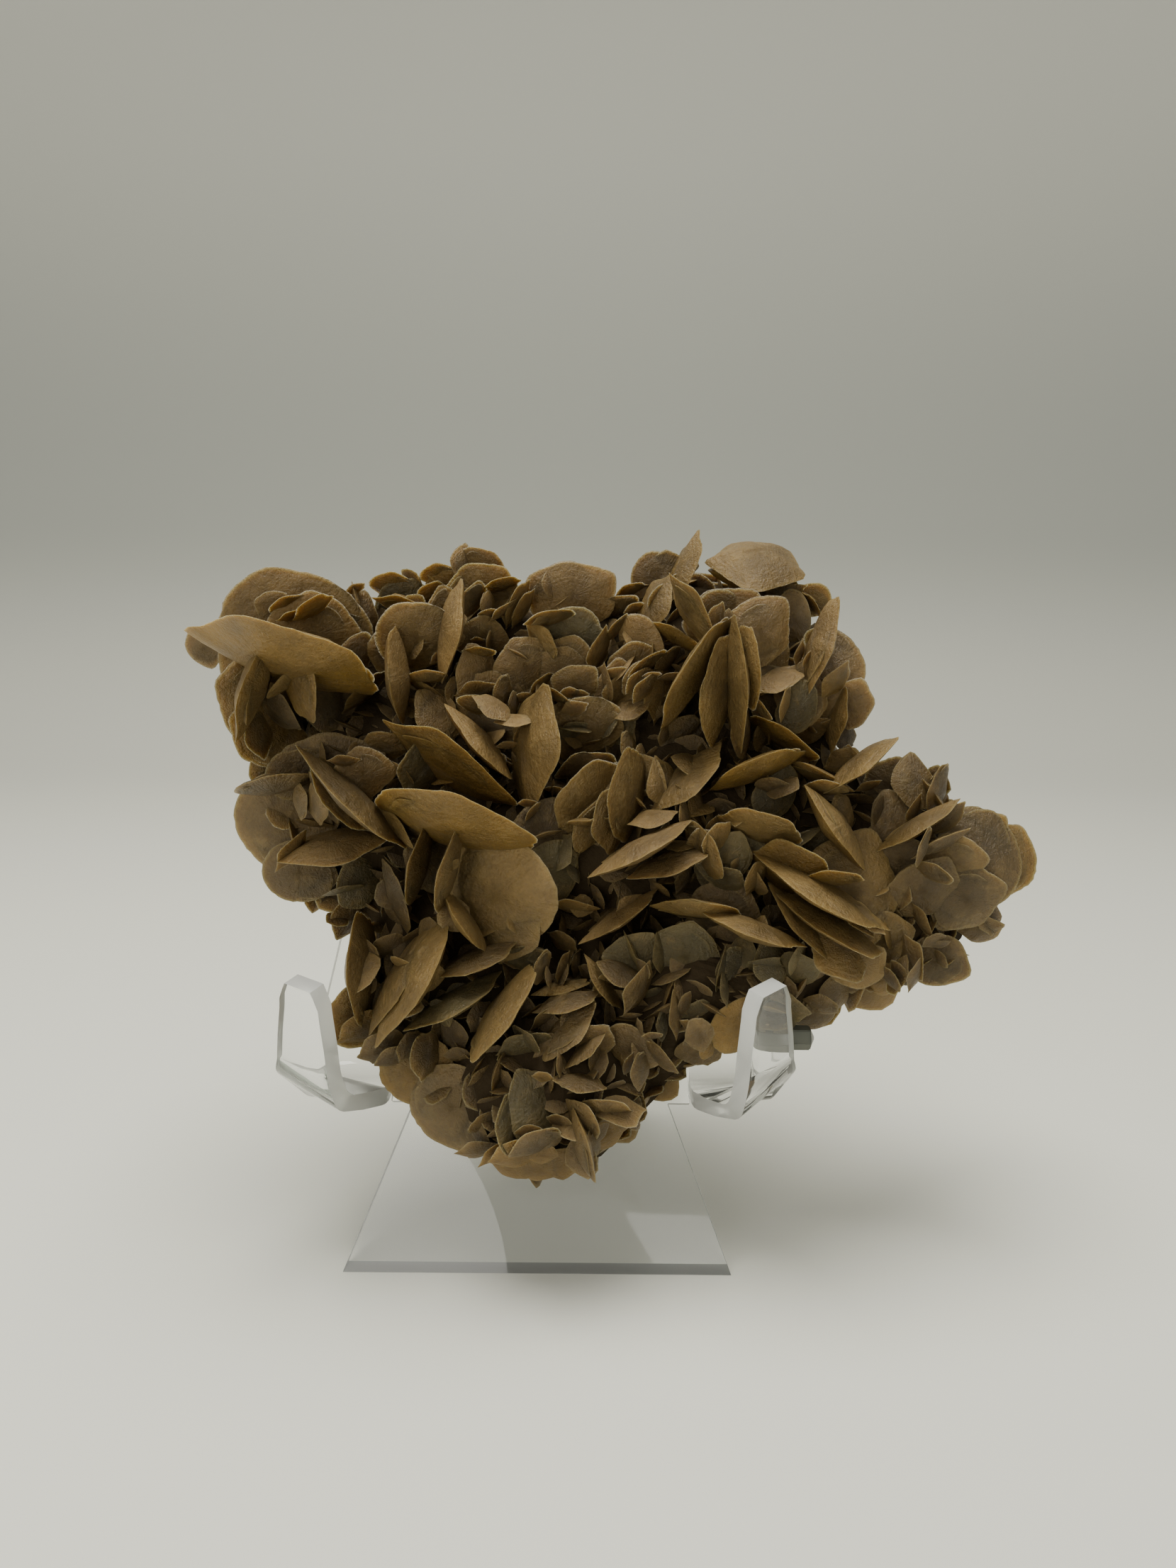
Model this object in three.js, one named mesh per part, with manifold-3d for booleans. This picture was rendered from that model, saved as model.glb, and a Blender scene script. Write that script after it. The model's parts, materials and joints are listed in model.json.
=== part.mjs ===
// Siderite specimen resting on a bent acrylic easel.
//
// The frame: millimetres, +Z up. X runs from left to right across the specimen's face,
// -Y is the side the face looks to, and the whole object stands on Z = 0 with its box
// centred on the Z axis.
//
// The specimen is a slab of lens-shaped crystals that have grown through one another. The
// crystals are set out in the slab's own frame: u across its face, v up its face and w out
// of its face.

import * as THREE from 'three';
import { mergeVertices } from 'three/addons/utils/BufferGeometryUtils.js';
import Module from 'manifold-3d';

const wasm = await Module();
wasm.setup();

const DEG = Math.PI / 180;
const rotated = (degrees) => [Math.cos(degrees * DEG), Math.sin(degrees * DEG)];

// ---------------------------------------------------------------- the easel's dimensions

const SHEET = 3;                 // thickness of the acrylic sheet
const SHEET_SLOPE = 60;          // the front sheet's angle above the floor, degrees
const FOOT_HALF = 32;            // half width of the foot tab on the floor
const NECK_HALF = 22;            // half width of the foot tab where it joins the sheet
const NECK_UP = 27.4;            // distance of that neck up the sheet
const ARM_INNER = 25.8;          // the slot beside the foot tab ends at this half width
const ARM_OUTER = 38.8;          // half width of the sheet over the arms
const WAIST_UP = 56;             // the sheet tapers from here up
const WAIST_HALF = 36.9;
const TOP_UP = 97;               // distance of the top bend up the sheet
const TOP_HALF = 24;
const LEG_HALF = 16;             // half width of the rear leg
const LEG_HEADING = -88;         // the rear leg goes down from the top bend, degrees
const LEG_BEND_RADIUS = 5;

const ARM_BEND_UP = 35.5;          // the arm leaves the sheet at this distance up it
const ARM_BEND_RADIUS = 7;
const ARM_REACH = 9;             // straight run of the arm, out from the sheet
const LIP_BEND_RADIUS = 8;
const LIP_HEADING = 103;         // the lip leans a little forward
const LIP_LENGTH = 15;

// ---------------------------------------------------------------- the specimen's placing

const SLAB_CENTRE = new THREE.Vector3(12.06, 21.5, 64.6);
const SLAB_LEAN = 24;                                   // the slab leans back, degrees
const SIGHT_POINT = new THREE.Vector3(-4.36, -36.34, 201.11);   // before the face, in u, v, w
const STAND_CLEARANCE = 0.35;    // the specimen keeps this far off the acrylic

// Only crystals over these radii shape the solid; the smaller ones are surface. The limit is
// lower on the rim, which shows as outline, and on the foot, where all crystals are small.
const SMALLEST_CRYSTAL = 5.5;
const SMALLEST_RIM_CRYSTAL = 3.9;
const SMALLEST_FOOT_CRYSTAL = 4.2;
const RIM_WIDTH = 4;
const FOOT_BELOW = -18;

// ---------------------------------------------------------------- the crystals of the face
//
// Each row is one lens: the place u, v where it shows from the sight point, how far it is
// lifted towards that point, its radius, the direction of its long axis on the face, how far
// it is tipped about that axis (0 is flat to the sight), both in degrees, and half its
// thickness as a share of its radius.

// The nest of big blades at the upper left.
const UPPER_LEFT = [
  [-57.9, 41.6, 7.9, 13.3, 0, 18, 0.16], [-66, 44.7, 9.9, 5.8, 30, 22, 0.18],
  [-62, 46.8, 12.9, 3.6, 0, 20, 0.2], [-59.8, 47.2, 13.9, 3.7, 27, 64, 0.16],
  [-58.3, 45.1, 14.9, 3.2, 24, 73, 0.18], [-55, 46.6, 15.9, 4.3, 38, 66, 0.18],
  [-54.8, 41.6, 9.9, 8.6, 20, 20, 0.17], [-50.5, 40, 6, 6.5, 30, 35, 0.16],
  [-47.5, 50.3, 0, 2.2, 30, 60, 0.17], [-59.4, 37, 18.4, 17.5, -12, 73, 0.19],
  [-64.6, 31.6, 17.4, 9.9, 77, 79, 0.24], [-63.1, 29.4, 4.9, 9.2, 90, 25, 0.16],
  [-62.3, 23.5, 6.9, 6.9, 92, 25, 0.16], [-59, 18.2, 2.4, 6.3, 60, 25, 0.17],
  [-63, 22.3, 10.4, 4.5, 100, 55, 0.17], [-58.5, 32.4, 14.9, 5.1, 44, 72, 0.16],
  [-56, 31, 16.1, 6, -72, 60, 0.16], [-51, 29, 6.1, 6, 90, 30, 0.15],
  [-44.5, 30.5, 6.1, 5.6, 47, 76, 0.13], [-60, 27, 9.9, 5, -40, 60, 0.16],
  [-54, 36, 11.9, 5, 10, 60, 0.16], [-47, 37, 7.5, 5, 60, 40, 0.16],
  [-63.7, 37, 5.9, 8.3, 60, 20, 0.15], [-74, 38.7, -3.3, 3.9, -40, 22, 0.18],
];

// The crest left of the middle.
const TOP_LEFT = [
  [-40.5, 50.9, 1, 4.7, -5, 50, 0.17], [-37.2, 52.4, 0, 2.6, -40, 50, 0.17],
  [-32.3, 53.3, 0.5, 3.8, 8, 50, 0.17], [-33.5, 49.7, 3.5, 3.4, 28, 55, 0.17],
  [-37.7, 46.7, 4.5, 6.1, -12, 74, 0.17], [-29.8, 42.3, 11.2, 9.5, 82, -79, 0.19],
  [-31.3, 45.9, 7.7, 5, 85, 45, 0.17], [-37.9, 38.6, 6, 6.6, 10, 20, 0.15],
  [-38.9, 33.7, 12.5, 8.7, 97, 78, 0.24], [-33.7, 33.5, 10.8, 3.9, 4, 68, 0.2],
  [-33.8, 31.2, 7.5, 4, -25, 75, 0.14], [-33, 41, 8, 3, 20, 65, 0.17],
  [-34.5, 39.2, 9, 2.2, 18, 70, 0.17], [-31.8, 37.5, 9, 2, 50, 65, 0.17],
  [-23.8, 54.4, 3, 5.6, -38, 50, 0.2], [-23.4, 49.3, 5.3, 7.1, -20, 25, 0.17],
  [-20.4, 51.7, 10.3, 3.5, 14, 72, 0.17], [-26, 48.2, 9.8, 4, 60, 50, 0.17],
  [-23, 47.5, 9.8, 2.6, 90, 50, 0.17], [-20.2, 46.3, 10.8, 3.1, 40, 72, 0.17],
  [-22.3, 45.6, 9.8, 2.8, 5, 65, 0.17], [-17.6, 47.8, 8.8, 4.8, 66, 70, 0.15],
  [-16.6, 46.8, 8.2, 4.2, 62, 72, 0.15], [-18.6, 46.5, 7.8, 3.5, 75, 60, 0.15],
  [-24, 41, 7.5, 5, 10, 25, 0.16], [-24.4, 38.3, 11, 3.3, 0, 72, 0.17],
  [-24.6, 40.6, 8.5, 1.4, 0, 60, 0.2], [-22.6, 40.6, 9, 1.9, 82, 74, 0.17],
  [-25.5, 34.5, 4.8, 4.5, 20, 55, 0.16], [-35.8, 41.4, 10.5, 7.4, 10, 25, 0.15],
  [-24.9, 34.2, 9, 5, 80, 36, 0.15], [-46.3, 44.7, 5, 4.8, 100, 30, 0.16],
  [-27.8, 55.5, 4, 3.6, 100, 42, 0.18], [-20.6, 51.1, 8, 3.6, 15, 70, 0.16],
  [-37.9, 47.5, -0.4, 5.7, 0, 30, 0.15], [-30.2, 51, 2, 4.3, 0, 35, 0.15],
];

// The big round plate on the crest and the faces under it.
const TOP_MIDDLE = [
  [-8.1, 49.4, 6, 8.3, 0, 15, 0.17], [-11.7, 45, 13, 4.8, 12, 72, 0.15],
  [-12.8, 44.6, 14, 2.4, 25, 65, 0.17], [-15.9, 35.8, 8, 6.2, 40, 25, 0.2],
  [-13, 40.5, 9.7, 4.2, -55, 60, 0.17], [-8, 37.5, 8.2, 4.8, 0, 20, 0.16],
  [-7, 31.5, 6, 5, 0, 28, 0.17], [-13, 32.3, 8.7, 3, 42, 70, 0.15],
  [-22, 29.5, 6, 6.2, 20, 25, 0.17], [-2.7, 38.5, 8.1, 4.8, 70, 68, 0.15],
  [0.5, 43, 7.4, 3.5, 50, 72, 0.15], [3.8, 47, 4.5, 2.2, 20, 60, 0.18],
  [0.5, 47, 2.6, 4.5, 20, 55, 0.17], [3, 50.5, 1, 3, 20, 65, 0.17],
  [-9.5, 35.1, 7, 5.3, 0, 28, 0.15], [-5.3, 24.1, 8.2, 7.2, 20, 28, 0.15],
  [0.4, 31.7, 7.1, 5, 60, 34, 0.15], [5.3, 40.4, 7.4, 5.5, -60, 34, 0.15],
  [-7.4, 41.6, 8.2, 5.9, 0, 20, 0.15], [-6.9, 32.5, 10, 4.3, 10, 24, 0.15],
  [2.9, 28.1, 7, 3.9, 20, -45, 0.16], [4.4, 33.4, 9.5, 3.8, 50, 40, 0.15],
];

// The crest right of the middle.
const TOP_RIGHT = [
  [8.1, 52.7, 0.1, 5.6, 65, 22, 0.18], [12.8, 54.7, 4.1, 7.1, 63, -72, 0.17],
  [14.5, 46.4, 18.9, 7.7, -60, 71, 0.17], [7.5, 47.6, 7.1, 6.1, 65, -64, 0.17],
  [11.6, 41.4, 9.5, 5.9, -31, 75, 0.17], [21.7, 43.2, 8.9, 8.9, -20, 24, 0.15],
  [19.2, 47.3, 11.9, 4.2, 0, 20, 0.16], [26.4, 42.6, 13.9, 7.1, 70, 20, 0.18],
  [18.7, 44.2, 17.9, 4, 76, 60, 0.18], [21, 45.5, 16.9, 1.6, 90, 50, 0.17],
  [26.2, 55.7, 5.8, 9.1, -10, -62, 0.36], [24.5, 53.7, 3.8, 7.5, -12, -82, 0.34],
  [31.5, 50.6, 2.5, 4, 8, 68, 0.15], [30.8, 50, 1.5, 4, 12, 66, 0.15],
  [32.5, 45.5, 4.2, 5, 85, 28, 0.17], [36.3, 48.9, -2, 4, 0, 22, 0.16],
  [36.5, 48, 0.5, 2.8, -60, 74, 0.17], [37.6, 40.3, 12.4, 8.9, 69, -71, 0.2],
  [39, 36.1, 4.9, 7.1, 110, 22, 0.16], [41.5, 28.5, 3.3, 5.3, 30, 25, 0.17],
  [40, 33.3, 8.9, 4, 50, 60, 0.17], [39.9, 26, 3.6, 6, 76, -74, 0.2],
  [33.7, 38.5, 10.4, 2.5, 70, 65, 0.17], [35, 37.5, 12.4, 1.8, 60, 74, 0.17],
  [33.6, 30.4, 8.7, 5.6, 110, 30, 0.15], [28.2, 50.9, 2, 6.1, -5, 52, 0.16],
];

// The upright blades right of the middle.
const STAR = [
  [3.8, 36.2, 6.8, 5.3, 20, 30, 0.16], [1, 31, 7, 4.3, 60, 50, 0.17],
  [0.5, 33.5, 8.5, 3.4, 10, 50, 0.17], [4.5, 33, 11.5, 3.2, 40, 60, 0.17],
  [6, 36, 11.5, 4.5, 35, 70, 0.17], [3.1, 27.7, 9, 4, 22, -61, 0.18],
  [5.6, 31.6, 13, 3.3, 47, 62, 0.17], [8.2, 30.7, 7, 5.4, 80, 62, 0.17],
  [8.5, 27.2, 6, 1.5, 60, 50, 0.17], [7, 34.2, 14, 1.8, 5, 70, 0.15],
  [10.7, 33.9, 10.5, 2.8, 6, 72, 0.15], [11.7, 35.5, 8, 1.6, -30, 70, 0.17],
  [9.5, 36.5, 9.1, 4, 50, 70, 0.17], [14.9, 34.7, 14, 12.1, 57, 79, 0.16],
  [12.3, 24, 6, 3.6, 30, 50, 0.17], [9, 22.8, 7.5, 2, 70, 60, 0.17],
  [18.7, 31.3, 16.1, 10.1, 79, 70, 0.17], [22, 32.5, 15.1, 12.2, 92, -80, 0.15],
  [24.4, 35.5, 19.9, 8.1, 93, -72, 0.17], [22.9, 23.5, 8, 5.1, 87, 64, 0.17],
  [26.7, 23.3, 5, 3.6, 68, 60, 0.17], [28.3, 38.2, 10.3, 4.6, 100, 30, 0.17],
  [28.9, 33.4, 10.4, 5.4, 11, -63, 0.3], [26, 28.5, 14.9, 3.6, -48, 74, 0.17],
  [30.2, 22.6, 7.3, 7.4, -35, 76, 0.17], [30.8, 29, 13.4, 3.4, 74, 76, 0.14],
  [33, 28.3, 10.1, 4.9, 65, 25, 0.16], [34.7, 24, 1.5, 3.9, 20, 45, 0.16],
  [28, 31, 8.9, 5, 80, 30, 0.16],
];

// The two long honey-coloured blades and what stands round them.
const MIDDLE_LEFT = [
  [-28.9, 17.2, 11, 12.8, -32, 72, 0.17], [-33.3, 16.8, 10, 6.2, 57, 50, 0.17],
  [-37.3, 15.6, 11, 3, -42, 70, 0.17], [-27.9, 6.7, 15.5, 15, -16, 72, 0.19],
  [-23.8, 21.5, 11.3, 8.8, -46, -81, 0.2], [-31.3, 26, 7.8, 5.6, -62, -35, 0.18],
  [-35, 27.6, 7.5, 2.8, -35, 58, 0.18], [-28.8, 31, 7.6, 2.6, 80, 50, 0.17],
  [-24.2, 30.8, 8.9, 4.2, 12, 60, 0.17], [-21.5, 27.8, 15.5, 4.1, -28, -62, 0.2],
  [-24.3, 28.2, 11.7, 4.2, -12, 60, 0.17], [-19.8, 30.8, 9.9, 3.2, 82, 55, 0.17],
  [-17.8, 28.7, 8.9, 2.2, 90, 60, 0.17], [-16, 29.6, 7.6, 2.4, 10, 60, 0.17],
  [-15.2, 28.6, 6, 2, 60, 60, 0.17], [-17.5, 25.4, 14.7, 3.7, 3, -70, 0.18],
  [-14.1, 20.3, 12.2, 11.2, 86, -68, 0.2], [-13, 30, 9, 2.4, 100, 65, 0.17],
  [-12.2, 26.8, 12, 2.6, 20, 45, 0.17], [-7, 27.7, 12.5, 2.7, 15, 45, 0.17],
  [-10.3, 30.2, 13.5, 3, -32, 74, 0.17], [-7.8, 30.7, 11, 1.9, 0, 50, 0.17],
  [-5.9, 30.3, 10.5, 1.7, 0, 50, 0.17], [-3, 23.7, 5.8, 6.8, 0, 20, 0.17],
  [-7.2, 23.3, 8.8, 3.2, 20, 48, 0.17], [-4.7, 16.8, 7.7, 5.6, 10, 55, 0.17],
  [-3.3, 10.5, 8, 9, 48, 50, 0.17], [-9.3, 12.3, 8, 3, -15, 74, 0.17],
  [-4, 6, 10, 5.2, 62, 52, 0.17], [0, 7.6, 12, 6.3, 80, 56, 0.17],
  [-11, -2, 7.7, 5.9, 60, 25, 0.16], [-12.3, 4.5, 9.2, 6.5, 90, 25, 0.15],
  [-15, 10.3, 13.2, 1.8, 5, 60, 0.2], [-14, 8.8, 12.7, 2.2, 50, 70, 0.17],
  [-19.5, 13.2, 5, 2, 80, 60, 0.17], [-18.7, 20.8, 10.7, 2, 5, 65, 0.17],
  [-17.2, 22.5, 11.2, 1.6, 70, 70, 0.17], [-17.4, 18.5, 9.5, 1.3, -60, 70, 0.17],
  [-22, 24, 6.5, 5, -40, 30, 0.16],
];

// The rounded lobe at the left edge.
const LEFT_LOBE = [
  [-49.7, 15.9, 8.3, 8.9, 0, 20, 0.16], [-41, 20.2, 8.8, 4.3, 0, 45, 0.17],
  [-55.5, 15.3, 10.3, 5.6, 20, 30, 0.17], [-59.8, 13.2, 13.4, 7.1, 14, 76, 0.2],
  [-57, 6.3, 2.9, 9.3, -60, 20, 0.16], [-54.8, 10.4, 12.8, 3.5, -80, 68, 0.16],
  [-51.8, 9.8, 15.3, 3.8, -72, 60, 0.16], [-50.6, 11, 14.3, 5.2, -57, 70, 0.16],
  [-45.8, 10.8, 15.3, 12.3, -41, -81, 0.16], [-47.8, 11.5, 13.3, 8.5, -48, -66, 0.16],
  [-44, 15.3, 13.3, 5.6, 30, 25, 0.17], [-47.5, 17.7, 17.8, 2.9, 5, 68, 0.18],
  [-46, 19.3, 11.3, 2, 80, 55, 0.17], [-48.7, 2.1, 9.6, 9.3, 16, -71, 0.19],
  [-55.7, 1.4, 10.4, 4.3, 56, 68, 0.17], [-38, 5.6, 12, 4.6, -48, 70, 0.16],
  [-54, -2.3, 0.4, 6.2, -15, 25, 0.16], [-44, -4.3, 2.5, 4.6, 80, 25, 0.18],
  [-45.3, -10, 0, 4.2, 60, 50, 0.17], [-35.5, 6.2, 12, 5, -25, 65, 0.16],
  [-37.1, -6.4, 7, 6.7, -69, 77, 0.16], [-33.6, -1.1, 11.8, 7.4, 78, 76, 0.18],
  [-28.5, -2.3, 16.3, 7.4, 77, 77, 0.18], [-27.3, -0.8, 18.3, 1.2, 60, 50, 0.17],
  [-31, 0, 5.8, 6, 90, 25, 0.15],
];

// The pale shelves in the middle and the blades round them.
const MIDDLE = [
  [-19.4, -6.1, 9.8, 10.8, -60, 24, 0.16], [-8.5, -13.8, 1.5, 3, -30, 60, 0.17],
  [-25.4, -10.5, 12.5, 6.5, -54, -81, 0.22], [-6.6, -7.9, 4, 4.3, -6, 74, 0.17],
  [-2.6, -6, 4, 2.6, -60, 70, 0.16], [-8.4, -12, 0.5, 2.7, 95, 70, 0.14],
  [1.1, -9.7, 6.1, 7.7, 34, -80, 0.17], [4.8, 2.2, 15, 9.6, 28, -81, 0.18],
  [9.4, -0.5, 12.5, 7.3, 17, -76, 0.18], [11.8, 0.8, 13, 4.4, 5, -62, 0.17],
  [11.3, 2.9, 11, 3, 0, -70, 0.17], [7, 7.7, 13.5, 4.3, 12, -66, 0.18],
  [2.5, 11.6, 12, 8.6, 82, 66, 0.17], [2.8, 20.6, 9.2, 3.1, 100, 60, 0.18],
  [4.8, 19.2, 9, 2.1, 88, 55, 0.17], [6, 14.6, 7, 5.4, -75, 50, 0.17],
  [8.7, 13.9, 9, 4.8, 98, 50, 0.17], [13, 14.9, 10, 8.2, 42, -66, 0.18],
  [14.8, 9.6, 8, 4.1, 98, 65, 0.17], [17, 8, 8, 2, 90, 65, 0.17],
  [17.6, 6.6, 10.1, 2.6, 48, 65, 0.17], [12.7, 8, 12, 2.9, 97, 66, 0.17],
  [15.7, 2.3, 11.8, 6, -63, 64, 0.17], [18, 4, 13.8, 3.9, 55, 58, 0.17],
  [14.3, 6.9, 9, 2.4, -50, 74, 0.17], [15.6, 7.7, 8, 2, -60, 74, 0.17],
  [20.5, 0, 6.8, 6.4, 30, 22, 0.16], [19.7, -3, 9.8, 3.4, -10, 45, 0.17],
  [24.6, -2.6, 9.8, 3.6, 62, 65, 0.17], [21.2, -0.3, 10.8, 1.3, 60, 50, 0.17],
  [19, -8, 5.7, 6.2, 0, 25, 0.17], [8.5, -4.8, 5.5, 2, -40, 70, 0.17],
  [11.3, 9.8, 12, 1.3, 90, 70, 0.17], [12.5, -3, 5.4, 3, 60, 60, 0.16],
  [19.3, 0.6, 10.5, 5, 30, 20, 0.15],
];

// The fan of long blades and the broad plate behind it.
const MIDDLE_RIGHT = [
  [25.4, 16.7, 10.6, 8.9, 21, 78, 0.2], [36, 15.8, 6.5, 6.5, -28, 80, 0.18],
  [28.3, 13.7, 10.8, 3.6, -10, 60, 0.17], [28.6, 12.7, 7.8, 5.2, 60, 30, 0.16],
  [25.6, 6.3, 12.3, 7.8, -16, 70, 0.2], [18.7, 9.8, 6.7, 3, 0, 50, 0.16],
  [39, 6.3, 10, 8.9, -58, -83, 0.24], [40, 8.3, 6, 4.1, 90, 50, 0.16],
  [33.7, 2.7, 4.8, 4.6, 25, 35, 0.16], [38.3, -2.5, 14, 5, -4, 76, 0.2],
  [41, 18.3, 1, 3.8, 10, 45, 0.17], [43.7, 17.8, 11, 8, 35, -79, 0.18],
  [45, 13.9, 1.2, 2.5, 18, 65, 0.17], [37.5, 13.5, 10, 4, -10, 70, 0.17],
  [40.6, -5, 5.5, 10.6, 90, 20, 0.16], [31, -1, 10, 7.6, -25, 55, 0.17],
  [35.9, -5.1, 12, 12.2, -32, -80, 0.16], [32, -9.7, 8.6, 8, -53, -77, 0.17],
  [36.8, -10.3, 10, 10.4, -34, -79, 0.16], [38.5, -15, 8, 6.2, -48, -45, 0.17],
  [43, -9, 13, 4.6, -45, -70, 0.16], [41.5, -9.5, 13, 4.5, -42, -72, 0.16],
  [27, -10.3, 1, 3.7, 60, 50, 0.16], [41.3, -17.3, 6, 5, 0, 25, 0.18],
  [46, -13, 3, 5.5, 40, 25, 0.16],
];

// The lobe at the right edge.
const RIGHT_LOBE = [
  [41.3, 23, 0, 3.2, 90, 50, 0.17], [49.5, 14.4, 0.7, 5.6, 0, 25, 0.16],
  [53, 14.6, 3.7, 5.1, 108, 35, 0.17], [56.7, 14.1, 0.3, 3.7, 57, 70, 0.17],
  [57.1, 13.1, 4.8, 5.1, 68, 72, 0.2], [52.7, 9.6, 5.3, 3.2, 62, 74, 0.17],
  [62.9, 5.6, 3.4, 5.6, 0, 20, 0.17], [53.2, 6.7, 8.3, 8.1, 29, -81, 0.17],
  [58.3, 8, 8.7, 4.2, 36, 60, 0.17], [57.1, 3.6, 10.9, 5.3, 25, 79, 0.18],
  [54, 3, 14.8, 3.9, 68, 76, 0.14], [58.7, 0.6, 6.9, 5.8, 20, 28, 0.17],
  [55.5, -1.4, 11.9, 3.7, -30, 62, 0.17], [53.3, -4.3, 5.3, 6.5, 25, 30, 0.16],
  [63, 1.2, 4.6, 8.6, 90, 20, 0.16], [67.4, 0.8, 1.6, 6.3, 90, 18, 0.17],
  [60.6, -5.8, 3.9, 6.8, 35, 28, 0.17], [64.5, -9, 0, 3.4, 90, 50, 0.17],
  [62.8, -11, -1, 3.9, 0, 45, 0.17], [48.5, 8, 3.3, 5, 90, 30, 0.15],
  [46.5, 9.5, 5.3, 2.8, 70, 70, 0.17], [50, 1, 5.3, 5, 0, 30, 0.16],
  [53, -9.7, 5, 3.3, -65, 70, 0.17], [51, -16, 4, 4.1, -75, 60, 0.17],
  [51.3, -19, 6, 3, 65, 68, 0.16], [47, -19.6, 6.2, 2.8, -55, 65, 0.16],
  [48.6, -18.6, 5.3, 2.6, -62, 60, 0.16], [54.8, -13.2, 4.5, 2.3, 25, 60, 0.2],
  [56, -13.8, 4, 1.6, 12, 60, 0.2], [55.8, -16.2, 2, 1.9, -60, 60, 0.2],
  [55.2, -16.5, 0, 5.5, 0, 20, 0.17], [45.6, -19.7, -0.5, 4.2, 0, 45, 0.17],
];

// The upright blades and broad plates at the lower left.
const LOWER_LEFT = [
  [-42.2, -19.2, 5, 10.1, 94, 74, 0.2], [-42.7, -26.3, 3, 5.9, 60, 30, 0.16],
  [-33.7, -19.9, 9, 12.2, 64, -75, 0.2], [-36, -20.7, 7, 9.5, 63, -80, 0.2],
  [-38, -15, 4.5, 3.7, 20, 55, 0.16], [-42, -28.6, 4, 4.4, 30, 55, 0.17],
  [-38, -31.8, 5, 4.6, 18, 50, 0.18], [-36.5, -33.2, 6, 3.2, 22, 60, 0.17],
  [-34, -31.5, 6, 3, 60, 55, 0.17], [-31, -33, 6.5, 4.3, 80, 50, 0.17],
  [-25.8, -32.8, 6, 2.2, 0, 50, 0.17], [-32.5, -35, 2.5, 6.6, -30, 25, 0.16],
  [-26.2, -40.9, 2.5, 7.6, -40, 30, 0.16], [-20.9, -43.6, 6.3, 3.3, 30, 62, 0.16],
  [-21.9, -47.9, 5, 3.5, 10, 66, 0.17], [-21.5, -45.7, 5, 2.8, -50, 60, 0.17],
  [-23.3, -17.2, 11, 7.2, 22, -73, 0.17], [-26.7, -24.2, 9, 8.9, 31, -76, 0.18],
  [-18.6, -26.1, 12, 9.7, 57, -76, 0.19], [-22.3, -26.5, 6, 3, 60, 50, 0.17],
  [-26.5, -29.5, 5.5, 3.3, -50, 50, 0.17], [-21.5, -36, 6.9, 3, 40, 70, 0.17],
  [-31.8, -24.3, 6, 2, -30, 70, 0.17], [-39, -17.8, -2, 4, 60, 35, 0.16],
];

// The small blades and dull plates below the middle.
const LOWER_MIDDLE = [
  [-15, -17, 6, 4.2, 5, 55, 0.16], [-12, -18.3, 11, 3.3, 70, 62, 0.17],
  [-10.8, -20, 10.5, 2.2, 100, 74, 0.17], [-8.3, -18.3, 5, 3.1, 72, 70, 0.17],
  [-6, -17.5, 3, 2.5, 80, 65, 0.17], [-8.7, -21.7, 3.8, 5, 12, -77, 0.18],
  [-7.6, -24.1, 9.8, 5.6, 16, -71, 0.18], [-7.6, -28, 9.6, 6.4, 48, -50, 0.17],
  [-11, -26.5, 9, 3.5, 40, 70, 0.17], [-1.5, -20.8, 7.6, 5.4, -56, -74, 0.2],
  [3.4, -16.5, 7.9, 5, 20, 20, 0.16], [1.5, -19.2, 10.1, 4.4, -30, -58, 0.18],
  [4.3, -21.7, 11.1, 4.8, 62, 66, 0.18], [5.3, -18.3, 11.5, 2, -60, 60, 0.2],
  [-14.1, -32.1, 8, 5.7, 9, 60, 0.2], [-8.7, -34.3, 13, 2.4, 94, 74, 0.17],
  [-4.5, -31.8, 10.6, 4.5, 42, -72, 0.17], [-2, -33, 7.6, 4.2, 78, 65, 0.17],
  [3.5, -31.3, 8.5, 5, -30, 40, 0.17], [4.7, -35.2, 10, 3.3, 80, 60, 0.17],
  [3, -34, 9, 2.2, 60, 60, 0.17], [-0.6, -25.3, 5, 2.2, -62, 60, 0.18],
  [3.2, -26.2, 9, 1.9, 5, 70, 0.18], [4.6, -28, 11, 1.5, -75, 60, 0.18],
  [-16.5, -35.4, 8, 3.1, -15, 62, 0.17], [-17.5, -37.2, 9.5, 2.9, -58, 66, 0.17],
  [14.3, -8.1, 10.1, 7.7, -6, 78, 0.17], [24.1, -11.6, 12.7, 8.7, -20, -81, 0.19],
  [12.2, -16, 7.7, 6.3, 0, 15, 0.16], [20.8, -18.2, 7.8, 4.5, 60, 45, 0.16],
  [27, -17.5, 8, 4.5, 90, 45, 0.17], [31.2, -18.3, 6, 4.5, 0, 45, 0.17],
  [20.5, -28, 6.2, 5, 40, 28, 0.17], [14.3, -25.8, 7, 3.4, 30, 50, 0.17],
  [10.6, -26, 11.5, 4, 92, 74, 0.16], [12.2, -24.2, 10.5, 2.4, 68, 62, 0.17],
  [13.1, -27.9, 11.5, 2.2, -30, 62, 0.18], [13.2, -29.8, 10.5, 1.9, 42, 65, 0.17],
  [19, -21.6, 10.1, 3.1, 95, 74, 0.17], [16, -22.3, 6, 2.4, 10, 60, 0.17],
  [7, -22.5, 7.5, 2, 20, 60, 0.17], [8.5, -27.7, 8, 3, 85, 65, 0.17],
  [6.7, -29.5, 13, 1.9, 5, 68, 0.2], [7.7, -32.7, 9.5, 4.1, -42, 70, 0.17],
  [14.3, -32, 3.8, 4.2, 0, 48, 0.17], [16.5, -30.6, 5.5, 3.2, 60, 50, 0.17],
];

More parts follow.
